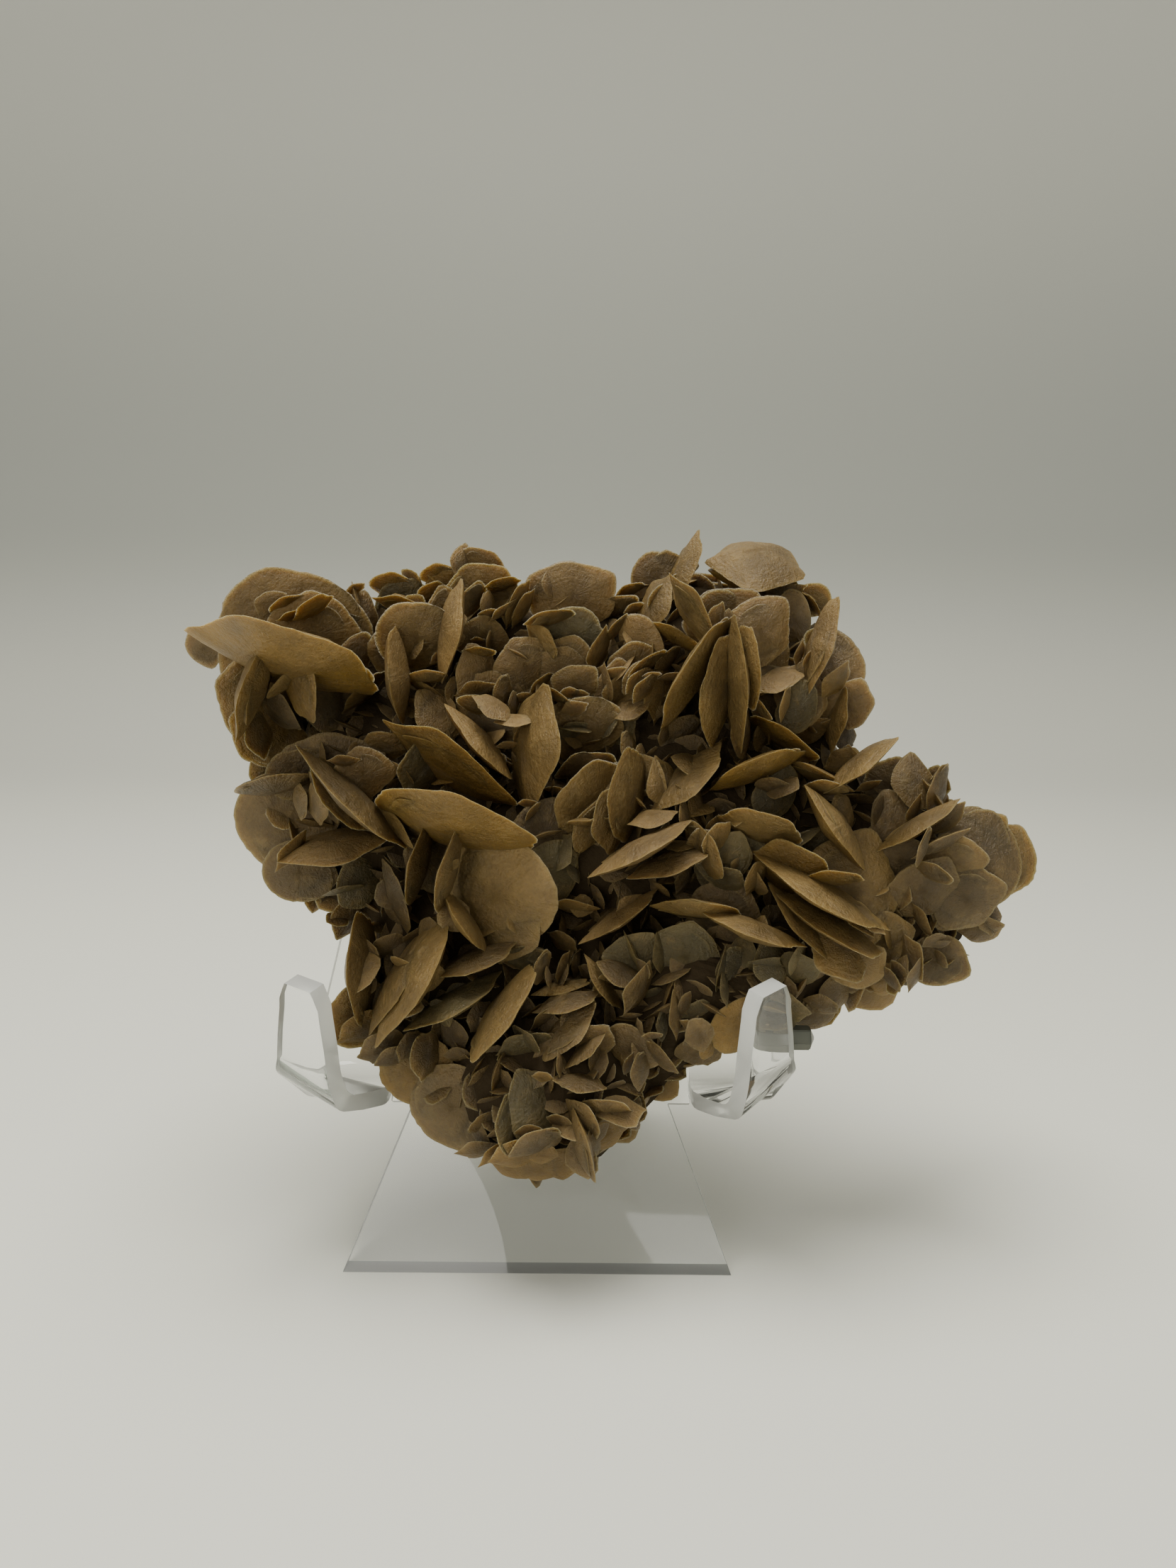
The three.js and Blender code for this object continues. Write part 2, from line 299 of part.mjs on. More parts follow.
// The small plates over the quartz at the lower right.
const LOWER_RIGHT = [
  [35.2, -24.1, 3, 3.1, -20, 58, 0.18], [34, -25.7, -0.7, 4, 20, 48, 0.17],
  [37.5, -22.2, 0.5, 3.8, 60, 48, 0.17], [29, -24.5, 5, 4.3, -20, 50, 0.17],
  [28, -27.6, 3, 3, 20, 50, 0.17],
];

// The tip.
const BOTTOM = [
  [-16.8, -44, 12.1, 5.1, 88, 58, 0.17], [-13.3, -41, 11.1, 5.8, 90, 28, 0.18],
  [-5.5, -37.1, 12.3, 4.7, -8, -68, 0.18], [-11.5, -36.3, 13.1, 1.9, -5, 60, 0.2],
  [-1.5, -41.6, 10.8, 5.5, -2, 70, 0.18], [-4.9, -46.9, 11.8, 6.1, 108, -78, 0.2],
  [-4.7, -42.8, 12.5, 4, -52, 62, 0.18], [-2, -45.3, 11.5, 2.3, 50, 60, 0.18],
  [-3.5, -44.7, 11.5, 1.7, -15, 60, 0.18], [-1.2, -45, 4.8, 4.2, 30, 48, 0.17],
  [1.2, -43.2, 5, 3.5, 30, 50, 0.17], [-12.5, -46.8, 13.2, 4.7, 22, 66, 0.18],
  [-15.3, -48.5, 10.5, 5, 13, 62, 0.18], [-19, -48.3, 7.5, 3.4, 40, 70, 0.17],
  [-16.3, -50, 6.5, 4.1, -20, 48, 0.17], [-12, -50.6, 6.5, 3.9, 0, 48, 0.17],
  [-8.3, -50, 6.5, 3.9, 10, 48, 0.17], [-11.5, -48.5, 10.5, 2.8, 0, 48, 0.17],
  [-9.3, -46.5, 11.5, 1.9, 40, 62, 0.2], [-13.5, -45, 13.1, 2.5, 0, 60, 0.17],
  [-8.5, -43.5, 12.1, 2.5, -20, 60, 0.17],
];

const FACE_CRYSTALS = [
  UPPER_LEFT, TOP_LEFT, TOP_MIDDLE, TOP_RIGHT, STAR, MIDDLE_LEFT, LEFT_LOBE, MIDDLE,
  MIDDLE_RIGHT, RIGHT_LOBE, LOWER_LEFT, LOWER_MIDDLE, LOWER_RIGHT, BOTTOM,
].flat();

// The specimen's outline on its face, as u, v.
const OUTLINE = [
  [-75, 41], [-69, 50], [-58, 54.5], [-47, 50], [-40, 53.5], [-28, 59], [-18, 53], [-7, 57],
  [1, 51], [8, 57.5], [16, 59], [25, 58], [35, 52], [42, 48], [46.5, 40], [47, 30], [43, 22],
  [51, 20], [60, 16.5], [68, 10], [73.5, 0], [69, -7], [66, -14], [58, -20.5], [48, -23.5],
  [42, -23.5], [35, -30.5], [26, -31.5], [20, -33], [13, -38.5], [6, -45.5], [-1, -53],
  [-9, -56.5], [-17, -56.5], [-24, -52], [-32, -45.5], [-41, -37.5], [-48, -32.5], [-42, -20],
  [-44.5, -12], [-48, -9], [-58, -6.5], [-63, 3], [-66, 11], [-64, 15], [-68, 24], [-72, 33],
];

// The massive siderite that the crystals grew from: a plate in the outline's form, and lumps
// on it where the face stands higher, as u, v, w and the three radii.
const PLATE = { share: 0.96, back: -12, thickness: 11, bevel: 3 };
const MATRIX_LUMPS = [
  [-52, 36, -3, 16, 12, 9], [-14, 38, -3, 34, 14, 10], [20, 34, -3, 22, 16, 12],
  [-34, 14, -3, 25, 17, 12], [6, 8, -3, 34, 19, 13], [-27, -18, -3, 16, 17, 13],
  [44, -2, -3, 22, 13, 8], [-12, -38, -2, 18, 15, 14], [12, -22, -3, 20, 13, 14],
];

// The short hexagonal prism of quartz under the lower right edge.
const QUARTZ = { u: 28.6, v: -29.6, w: 1, radius: 2.2, length: 10.4 };

// Crystals on the back are smaller and lie more evenly.
const BACK_SPACING = 21;
const BACK_DEPTH = -12;
const EDGE_SPACING = 24;
const EDGE_DEPTH = -7;

// ---------------------------------------------------------------- small helpers

// A repeatable stream of numbers between 0 and 1.
function numberStream(seed) {
  let state = seed;
  return () => {
    state = (state * 1103515245 + 12345) % 2147483648;
    return state / 2147483648;
  };
}

function toSolid(geometry) {
  const bare = geometry.index ? geometry.toNonIndexed() : geometry.clone();
  bare.deleteAttribute('normal');
  bare.deleteAttribute('uv');
  const merged = mergeVertices(bare, 1e-4);
  return new wasm.Manifold(new wasm.Mesh({
    numProp: 3,
    vertProperties: new Float32Array(merged.attributes.position.array),
    triVerts: new Uint32Array(merged.index.array),
  }));
}

function toGeometry(solid) {
  const mesh = solid.getMesh();
  const geometry = new THREE.BufferGeometry();
  geometry.setAttribute('position', new THREE.BufferAttribute(mesh.vertProperties, 3));
  geometry.setIndex(new THREE.BufferAttribute(mesh.triVerts, 1));
  geometry.computeVertexNormals();
  return geometry;
}

const joined = (solids) => wasm.Manifold.union(solids);

// The one big body of a solid, without the sealed pockets inside it.
function mainBody(solid) {
  return solid.decompose().reduce((most, body) => (body.numTri() > most.numTri() ? body : most));
}

// ---------------------------------------------------------------- the easel

// Steps along a path in the Y, Z plane. A move is [length] for a straight run, or
// [radius, angle, steps] for a bend; a heading is an angle above +Y.
function steppedPath(y, z, heading, moves) {
  const path = [{ y, z, heading }];
  const step = (length, turn) => {
    heading += turn / 2;
    const [c, s] = rotated(heading);
    y += length * c;
    z += length * s;
    heading += turn / 2;
    path.push({ y, z, heading });
  };
  for (const [size, angle, steps] of moves) {
    if (angle === undefined) {
      step(size, 0);
      continue;
    }
    const turn = angle / steps;
    const chord = 2 * size * Math.sin(Math.abs(turn) * DEG / 2);
    for (let i = 0; i < steps; i += 1) step(chord, turn);
  }
  let run = 0;
  path.forEach((point, i) => {
    if (i > 0) run += Math.hypot(point.y - path[i - 1].y, point.z - path[i - 1].z);
    point.run = run;
  });
  path.forEach((point) => { point.share = point.run / run; });
  return path;
}

// A strip of sheet along a path: shape(share) gives its centre x, half width and twist.
function bentStrip(path, shape, thickness) {
  const corners = [];
  for (const point of path) {
    const { x, half, twist } = shape(point.share);
    const [c, s] = rotated(point.heading);
    const along = new THREE.Vector3(0, c, s);
    const across = new THREE.Vector3(1, 0, 0).applyAxisAngle(along, twist * DEG);
    const through = new THREE.Vector3().crossVectors(along, across);
    const centre = new THREE.Vector3(x, point.y, point.z);
    for (const [side, face] of [[-1, -1], [1, -1], [1, 1], [-1, 1]]) {
      corners.push(centre.clone()
        .addScaledVector(across, side * half)
        .addScaledVector(through, face * thickness / 2));
    }
  }
  const faces = [];
  const quad = (a, b, c, d) => faces.push(a, b, c, a, c, d);
  const last = (path.length - 1) * 4;
  for (let i = 0; i < last; i += 4) {
    for (let k = 0; k < 4; k += 1) {
      const next = (k + 1) % 4;
      quad(i + k, i + next, i + 4 + next, i + 4 + k);
    }
  }
  quad(3, 2, 1, 0);
  quad(last, last + 1, last + 2, last + 3);
  const geometry = new THREE.BufferGeometry().setFromPoints(corners);
  geometry.setIndex(faces);
  return geometry;
}

// Smooth change of a value over the shares of a path, through [share, value] stops.
function along(stops, share) {
  let i = 1;
  while (i < stops.length - 1 && share > stops[i][0]) i += 1;
  const [from, low] = stops[i - 1];
  const [to, high] = stops[i];
  return low + (high - low) * THREE.MathUtils.smoothstep(share, from, to);
}

// A point on the middle of the front sheet's thickness, at a distance up the sheet.
function onSheet(up) {
  const [c, s] = rotated(SHEET_SLOPE);
  return { y: up * c + SHEET / 2 * s, z: up * s - SHEET / 2 * c };
}

function frontSheet(thickness, grow) {
  const shape = new THREE.Shape();
  const right = [
    [FOOT_HALF + 1.1 + grow, -3], [NECK_HALF + grow, NECK_UP - grow],
    [ARM_INNER - grow, NECK_UP - grow], [ARM_INNER - grow, ARM_BEND_UP],
    [ARM_OUTER + grow, ARM_BEND_UP], [ARM_OUTER + grow, ARM_BEND_UP + 8],
    [WAIST_HALF + grow, WAIST_UP], [TOP_HALF + 4 + grow, TOP_UP - 8], [TOP_HALF + grow, TOP_UP],
  ];
  const left = right.map(([x, up]) => [-x, up]).reverse();
  for (const [i, [x, up]] of [...right, ...left].entries()) {
    if (i === 0) shape.moveTo(x, up);
    else shape.lineTo(x, up);
  }
  shape.closePath();
  const geometry = new THREE.ExtrudeGeometry(shape, { depth: thickness, bevelEnabled: false });
  geometry.translate(0, 0, -thickness / 2);
  geometry.rotateX(SHEET_SLOPE * DEG);
  const middle = onSheet(0);
  geometry.translate(0, middle.y, middle.z);
  return geometry;
}

// side is +1 for the right arm and -1 for the left; the right lip is turned out further.
function arm(side, thickness, grow) {
  const start = onSheet(ARM_BEND_UP + 7);
  const path = steppedPath(start.y, start.z, SHEET_SLOPE + 180, [
    [7],
    [ARM_BEND_RADIUS, -90, 9],
    [ARM_REACH / 2], [ARM_REACH / 2],
    [LIP_BEND_RADIUS, LIP_HEADING - 150, 6],
    [LIP_LENGTH / 3], [LIP_LENGTH / 3], [LIP_LENGTH / 3 - 3], [2], [1 + grow],
  ]);
  const turnOut = side > 0 ? 40 : 30;
  const middle = (ARM_INNER + ARM_OUTER) / 2;
  return bentStrip(path, (share) => ({
    x: side * along([[0, middle], [0.3, middle], [0.62, 36], [1, 35.4]], share),
    half: grow + along([[0, 6.5], [0.35, 6.6], [0.6, 6], [0.75, 4.9], [0.95, 3.9], [1, 2.6]], share),
    twist: side * along([[0, 0], [0.25, 0], [0.62, turnOut], [1, turnOut]], share),
  }), thickness);
}

function rearLeg(thickness, grow) {
  const start = onSheet(TOP_UP - 6);
  const path = steppedPath(start.y, start.z, SHEET_SLOPE, [
    [6],
    [LEG_BEND_RADIUS, LEG_HEADING - SHEET_SLOPE, 10],
    [30], [63],
  ]);
  return bentStrip(path, (share) => ({
    x: 0,
    half: grow + along([[0, TOP_HALF - 1], [0.12, TOP_HALF - 3], [0.3, LEG_HALF], [1, LEG_HALF]], share),
    twist: 0,
  }), thickness);
}

// The stand, cut level with the floor. grow thickens it all round.
function easel(grow) {
  const thickness = SHEET + 2 * grow;
  const pieces = [frontSheet(thickness, grow), arm(1, thickness, grow),
    arm(-1, thickness, grow), rearLeg(thickness, grow)];
  const belowFloor = new THREE.BoxGeometry(200, 200, 40).translate(0, 40, -20);
  return joined(pieces.map(toSolid)).subtract(toSolid(belowFloor));
}

// ---------------------------------------------------------------- the crystals

const SLAB = (() => {
  const [c, s] = rotated(SLAB_LEAN);
  const across = new THREE.Vector3(1, 0, 0);
  const up = new THREE.Vector3(0, s, c);
  const out = new THREE.Vector3(0, -c, s);
  return new THREE.Matrix4().makeBasis(across, up, out).setPosition(SLAB_CENTRE);
})();

// A lens lying in its own X, Z plane: two low cones on one sharp rim.
function lens(radius, halfThickness) {
  const sides = radius > 8 ? 8 : 6;
  const profile = [[0, -halfThickness], [radius, 0], [0, halfThickness]];
  const geometry = new THREE.LatheGeometry(profile.map(([x, y]) => new THREE.Vector2(x, y)), sides);
  geometry.deleteAttribute('uv');
  geometry.deleteAttribute('normal');
  return mergeVertices(geometry, 1e-4);
}

// A lens at a place in the slab, with its long axis and its face's normal given.
function placedLens(place, longAxis, normal, radius, halfThickness) {
  const third = new THREE.Vector3().crossVectors(longAxis, normal);
  const turn = new THREE.Matrix4().makeBasis(longAxis, normal, third).setPosition(place);
  return toSolid(lens(radius, halfThickness).applyMatrix4(turn.premultiply(SLAB)));
}

function faceCrystal([u, v, lift, radius, turn, tip, fatness]) {
  const shown = new THREE.Vector3(u, v, 0);
  const nearness = 1 - lift / SIGHT_POINT.z;
  const place = SIGHT_POINT.clone().lerp(shown, nearness);
  const back = SIGHT_POINT.clone().sub(shown).normalize();
  const right = new THREE.Vector3(0, 1, 0).cross(back).normalize();
  const up = back.clone().cross(right);
  const [c, s] = rotated(turn);
  const longAxis = right.multiplyScalar(c).addScaledVector(up, s);
  const [upright, tipped] = rotated(tip);
  const side = longAxis.clone().cross(back);
  const normal = back.multiplyScalar(upright).addScaledVector(side, tipped);
  const size = radius * nearness;
  return placedLens(place, longAxis, normal, size, size * fatness);
}

// A crystal facing a direction given by two angles from straight out of the face.
function looseCrystal(place, towards, lean, radius, fatness) {
  const [c, s] = rotated(towards);
  const [flat, tipped] = rotated(lean);
  const normal = new THREE.Vector3(c * tipped, s * tipped, flat);
  const longAxis = new THREE.Vector3(-s, c, 0);
  return placedLens(place, longAxis, normal, radius, radius * fatness);
}

function insideOutline(u, v) {
  let inside = false;
  OUTLINE.forEach(([u1, v1], i) => {
    const [u2, v2] = OUTLINE[(i + 1) % OUTLINE.length];
    const crosses = (v1 > v) !== (v2 > v) && u < (u2 - u1) * (v - v1) / (v2 - v1) + u1;
    if (crosses) inside = !inside;
  });
  return inside;
}

function distanceToOutline(u, v) {
  const point = new THREE.Vector3(u, v, 0);
  const near = new THREE.Vector3();
  return Math.min(...OUTLINE.map(([u1, v1], i) => {
    const [u2, v2] = OUTLINE[(i + 1) % OUTLINE.length];
    new THREE.Line3(new THREE.Vector3(u1, v1, 0), new THREE.Vector3(u2, v2, 0))
      .closestPointToPoint(point, true, near);
    return near.distanceTo(point);
  }));
}

function shapesTheSolid([u, v, , radius]) {
  if (v < FOOT_BELOW) return radius >= SMALLEST_FOOT_CRYSTAL;
  if (distanceToOutline(u, v) < RIM_WIDTH) return radius >= SMALLEST_RIM_CRYSTAL;
  return radius >= SMALLEST_CRYSTAL;
}

function backCrystals() {
  const next = numberStream(20);
  const crystals = [];
  for (let u = -74; u < 76; u += BACK_SPACING) {
    for (let v = -54; v < 60; v += BACK_SPACING) {
      const shift = [next(), next(), next(), next(), next()];
      const at = [u + (shift[0] - 0.5) * 9, v + (shift[1] - 0.5) * 9];
      if (!insideOutline(...at)) continue;
      const room = distanceToOutline(...at);
      const radius = Math.min(6 + 4.5 * shift[2], room + 2.5);
      if (radius < 4) continue;
      const place = new THREE.Vector3(...at, BACK_DEPTH + 2.5 * shift[3]);
      crystals.push(looseCrystal(place, 360 * shift[4], 25 + 35 * shift[3], radius, 0.18));
    }
  }
  return crystals;
}

// Crystals all round the slab's edge, standing out from it like scales.
function edgeCrystals() {
  const next = numberStream(7);
  const crystals = [];
  OUTLINE.forEach(([u1, v1], i) => {
    const [u2, v2] = OUTLINE[(i + 1) % OUTLINE.length];
    const length = Math.hypot(u2 - u1, v2 - v1);
    const outward = Math.atan2(-(u2 - u1), v2 - v1) / DEG + 180;
    const [c, s] = rotated(outward);
    const count = Math.max(1, Math.round(length / EDGE_SPACING));
    for (let k = 0; k < count; k += 1) {
      const share = (k + 0.2 + 0.6 * next()) / count;
      const radius = 4.2 + 2.4 * next();
      const inset = radius + 0.4;
      const place = new THREE.Vector3(
        u1 + (u2 - u1) * share - c * inset,
        v1 + (v2 - v1) * share - s * inset,
        EDGE_DEPTH + 6 * (next() - 0.5),
      );
      crystals.push(looseCrystal(place, outward + 150 * (next() - 0.5), 20 + 60 * next(), radius, 0.18));
    }
  });
  return crystals;
}

function matrixPlate() {
  const { share, back, thickness, bevel } = PLATE;
  const shape = new THREE.Shape(OUTLINE.map(([u, v]) => new THREE.Vector2(u * share, v * share)));
  const plate = new THREE.ExtrudeGeometry(shape, {
    depth: thickness - 2 * bevel,
    bevelThickness: bevel,
    bevelSize: bevel,
    bevelOffset: -bevel,
    bevelSegments: 1,
  });
  return toSolid(plate.translate(0, 0, back + bevel).applyMatrix4(SLAB));
}

function matrixLump([u, v, w, ru, rv, rw]) {
  const lump = new THREE.IcosahedronGeometry(1, 0);
  lump.scale(ru, rv, rw).translate(u, v, w).applyMatrix4(SLAB);
  return toSolid(lump);
}

function quartzPrism() {
  const prism = new THREE.CylinderGeometry(QUARTZ.radius, QUARTZ.radius, QUARTZ.length, 6);
  prism.rotateZ(90 * DEG).translate(QUARTZ.u, QUARTZ.v, QUARTZ.w).applyMatrix4(SLAB);
  return toSolid(prism);
}

// ---------------------------------------------------------------- the object

const cluster = mainBody(joined([
  matrixPlate(),
  ...MATRIX_LUMPS.map(matrixLump),
  ...FACE_CRYSTALS.filter(shapesTheSolid).map(faceCrystal),
  ...backCrystals(),
  ...edgeCrystals(),
  quartzPrism(),
]).subtract(easel(STAND_CLEARANCE)));

const siderite = new THREE.MeshStandardMaterial({ color: 0x8d7554, roughness: 0.55, metalness: 0 });
const acrylic = new THREE.MeshStandardMaterial({
  color: 0xf2f4f1, roughness: 0.05, metalness: 0, transparent: true, opacity: 0.25,
});

const specimen = new THREE.Group();
for (const [name, solid, material] of [
  ['siderite_cluster', cluster, siderite],
  ['acrylic_stand', easel(0), acrylic],
]) {
  const mesh = new THREE.Mesh(toGeometry(solid), material);
  mesh.name = name;
  specimen.add(mesh);
}

// Stand the box's middle on the origin.
const box = new THREE.Box3().setFromObject(specimen);
specimen.position.set(-(box.min.x + box.max.x) / 2, -(box.min.y + box.max.y) / 2, -box.min.z);

export default specimen;
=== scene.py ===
"""The siderite specimen on its clear acrylic easel, with its finished surfaces.

The specimen is a slab of lens-shaped crystals that have grown through one another. Its
big crystals are set out one by one in the slab's own frame (u across the face, v up it and
w out of it, in millimetres), and its small ones grow on the matrix by rule. The easel is one
bent sheet of clear acrylic.

Its sizes and colours, and a button for each group of pieces, stand in the sidebar of the 3D
view.
"""

import json
import math

import bmesh
import bpy
import numpy as np
from mathutils import Matrix, Vector
from mathutils.bvhtree import BVHTree

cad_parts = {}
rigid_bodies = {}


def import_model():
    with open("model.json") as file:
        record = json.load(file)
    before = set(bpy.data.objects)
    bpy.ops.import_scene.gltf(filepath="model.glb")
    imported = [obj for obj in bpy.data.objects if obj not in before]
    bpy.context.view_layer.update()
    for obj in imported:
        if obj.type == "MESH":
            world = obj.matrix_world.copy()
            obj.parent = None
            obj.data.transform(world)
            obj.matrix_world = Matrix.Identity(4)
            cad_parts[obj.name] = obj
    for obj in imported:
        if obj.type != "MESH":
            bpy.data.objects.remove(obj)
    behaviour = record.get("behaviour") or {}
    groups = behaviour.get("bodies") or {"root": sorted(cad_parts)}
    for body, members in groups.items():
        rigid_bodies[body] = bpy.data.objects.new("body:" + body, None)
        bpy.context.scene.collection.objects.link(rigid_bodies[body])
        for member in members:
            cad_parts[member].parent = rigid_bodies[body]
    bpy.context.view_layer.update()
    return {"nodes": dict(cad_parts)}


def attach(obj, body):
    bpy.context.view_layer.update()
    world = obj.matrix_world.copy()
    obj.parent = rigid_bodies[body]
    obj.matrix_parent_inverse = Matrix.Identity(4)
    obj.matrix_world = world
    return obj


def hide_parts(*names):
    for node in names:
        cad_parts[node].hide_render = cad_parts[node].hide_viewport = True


bl_info = {
    "name": "Siderite specimen",
    "version": (1, 0, 0),
    "blender": (4, 5, 0),
    "location": "3D View > Sidebar > Specimen",
    "description": "Lens-shaped siderite crystals on a clear acrylic easel",
    "category": "Object",
}

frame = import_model()

MM = 0.001
SPECIMEN = "siderite_cluster"
EASEL = "acrylic_stand"

# ------------------------------------------------------------------ the slab's own frame

# The slab's centre from the middle of the easel's front foot edge, in millimetres, and how
# far the slab leans back.
SLAB_CENTRE = Vector((12.06, 21.5, 64.6))
SLAB_LEAN = math.radians(24)
# The crystals' places are as they show from this point before the face, in u, v, w.
SIGHT_POINT = Vector((-4.36, -36.34, 201.11))

# The specimen's outline on its face, as u, v.
OUTLINE = [
    (-75, 41), (-69, 50), (-58, 54.5), (-47, 50), (-40, 53.5), (-28, 59), (-18, 53), (-7, 57),
    (1, 51), (8, 57.5), (16, 59), (25, 58), (35, 52), (42, 48), (46.5, 40), (47, 30), (43, 22),
    (51, 20), (60, 16.5), (68, 10), (73.5, 0), (69, -7), (66, -14), (58, -20.5), (48, -23.5),
    (42, -23.5), (35, -30.5), (26, -31.5), (20, -33), (13, -38.5), (6, -45.5), (-1, -53),
    (-9, -56.5), (-17, -56.5), (-24, -52), (-32, -45.5), (-41, -37.5), (-48, -32.5), (-42, -20),
    (-44.5, -12), (-48, -9), (-58, -6.5), (-63, 3), (-66, 11), (-64, 15), (-68, 24), (-72, 33),
]

# Where the matrix stands higher under the face, as u, v, w and the three radii.
MATRIX_LUMPS = [
    (-52, 36, -3, 16, 12, 7), (-14, 38, -3, 34, 14, 8), (20, 34, -3, 22, 16, 9),
    (-34, 14, -3, 25, 17, 9), (6, 8, -3, 34, 19, 10), (-27, -18, -3, 16, 17, 10),
    (44, -2, -3, 22, 13, 6), (-11, -39, -2, 17, 17, 13), (15, -23, -3, 20, 13, 12.5),
    (31, -20, -3, 14, 11, 9),
]

# ------------------------------------------------------------------ the crystals of the face
#
# Each row is one lens: the place u, v where it shows from the sight point, how far it is
# lifted towards that point, its radius, the direction of its long axis on the face, how far
# it is tipped about that axis (0 is flat to the sight), both in degrees, half its thickness
# as a share of its radius, and its tone.

# The nest of big blades at the upper left.
UPPER_LEFT = [
    (-57.9, 41.6, 7.9, 13.3, 0, 18, 0.16, "t"), (-66, 44.7, 9.9, 5.8, 30, 22, 0.18, "f"),
    (-62, 46.8, 12.9, 3.6, 0, 20, 0.2, "t"), (-59.8, 47.2, 13.9, 3.7, 27, 64, 0.16, "a"),
    (-58.3, 45.1, 14.9, 3.2, 24, 73, 0.18, "a"), (-55, 46.6, 15.9, 4.3, 38, 66, 0.18, "a"),
    (-54.8, 41.6, 9.9, 8.6, 20, 20, 0.17, "t"), (-50.5, 40, 6, 6.5, 30, 35, 0.16, "g"),
    (-47.5, 50.3, 8, 2.2, 30, 60, 0.17, "f"), (-59.4, 37, 18.4, 17.5, -12, 73, 0.19, "a"),
    (-64.6, 31.6, 17.4, 9.9, 77, 79, 0.24, "t"), (-63.1, 29.4, 4.9, 9.2, 90, 25, 0.16, "t"),
    (-62.3, 23.5, 6.9, 6.9, 92, 25, 0.16, "a"), (-59, 18.2, 2.4, 6.3, 60, 25, 0.17, "a"),
    (-63, 22.3, 10.4, 4.5, 100, 55, 0.17, "t"), (-58.5, 32.4, 14.9, 5.1, 44, 72, 0.16, "t"),
    (-56, 31, 16.1, 6, -72, 60, 0.16, "a"), (-51, 29, 6.1, 6, 90, 30, 0.15, "d"),
    (-44.5, 30.5, 6.1, 5.6, 47, 76, 0.13, "t"), (-60, 27, 9.9, 5, -40, 60, 0.16, "d"),
    (-54, 36, 11.9, 5, 10, 60, 0.16, "d"), (-47, 37, 7.5, 5, 60, 40, 0.16, "d"),
    (-63.7, 37, 5.9, 8.3, 60, 20, 0.15, "t"), (-74, 38.7, 9.7, 3.9, -40, 22, 0.18, "f"),
]

# The crest left of the middle.
TOP_LEFT = [
    (-40.5, 50.9, 1.5, 4.7, -5, 50, 0.17, "a"), (-37.2, 52.4, 2.5, 2.6, -40, 50, 0.17, "t"),
    (-32.3, 53.3, 3.5, 3.8, 8, 50, 0.17, "a"), (-33.5, 49.7, 3, 3.4, 28, 55, 0.17, "a"),
    (-37.7, 46.7, 4.5, 6.1, -12, 74, 0.17, "a"), (-29.8, 42.3, 11.2, 9.5, 82, -79, 0.19, "f"),
    (-31.3, 45.9, 7.7, 5, 85, 45, 0.17, "t"), (-37.9, 38.6, 6, 6.6, 10, 20, 0.15, "t"),
    (-38.9, 33.7, 12.5, 8.7, 97, 78, 0.24, "f"), (-33.7, 33.5, 10.8, 3.9, 4, 68, 0.2, "t"),
    (-33.8, 31.2, 7.5, 4, -25, 75, 0.14, "t"), (-33, 41, 8, 3, 20, 65, 0.17, "f"),
    (-34.5, 39.2, 9, 2.2, 18, 70, 0.17, "f"), (-31.8, 37.5, 9, 2, 50, 65, 0.17, "f"),
    (-23.8, 54.4, 3, 5.6, -38, 50, 0.2, "f"), (-23.4, 49.3, 5.3, 7.1, -20, 25, 0.17, "a"),
    (-20.4, 51.7, 10.3, 3.5, 14, 72, 0.17, "a"), (-26, 48.2, 9.8, 4, 60, 50, 0.17, "t"),
    (-23, 47.5, 9.8, 2.6, 90, 50, 0.17, "t"), (-20.2, 46.3, 10.8, 3.1, 40, 72, 0.17, "t"),
    (-22.3, 45.6, 9.8, 2.8, 5, 65, 0.17, "t"), (-17.6, 47.8, 8.8, 4.8, 66, 70, 0.15, "t"),
    (-16.6, 46.8, 8.2, 4.2, 62, 72, 0.15, "t"), (-18.6, 46.5, 7.8, 3.5, 75, 60, 0.15, "t"),
    (-24, 41, 7.5, 5, 10, 25, 0.16, "t"), (-24.4, 38.3, 11, 3.3, 0, 72, 0.17, "a"),
    (-24.6, 40.6, 8.5, 1.4, 0, 60, 0.2, "t"), (-22.6, 40.6, 9, 1.9, 82, 74, 0.17, "t"),
    (-25.5, 34.5, 4.8, 4.5, 20, 55, 0.16, "g"), (-35.8, 41.4, 10.5, 7.4, 10, 25, 0.15, "t"),
    (-24.9, 34.2, 9, 5, 80, 36, 0.15, "f"), (-46.3, 44.7, 5, 4.8, 100, 30, 0.16, "f"),
    (-27.8, 55.5, 4, 3.6, 100, 42, 0.18, "f"), (-20.6, 51.1, 8, 3.6, 15, 70, 0.16, "a"),
    (-37.9, 47.5, -0.4, 5.7, 0, 30, 0.15, "g"), (-30.2, 51, 2, 4.3, 0, 35, 0.15, "a"),
]

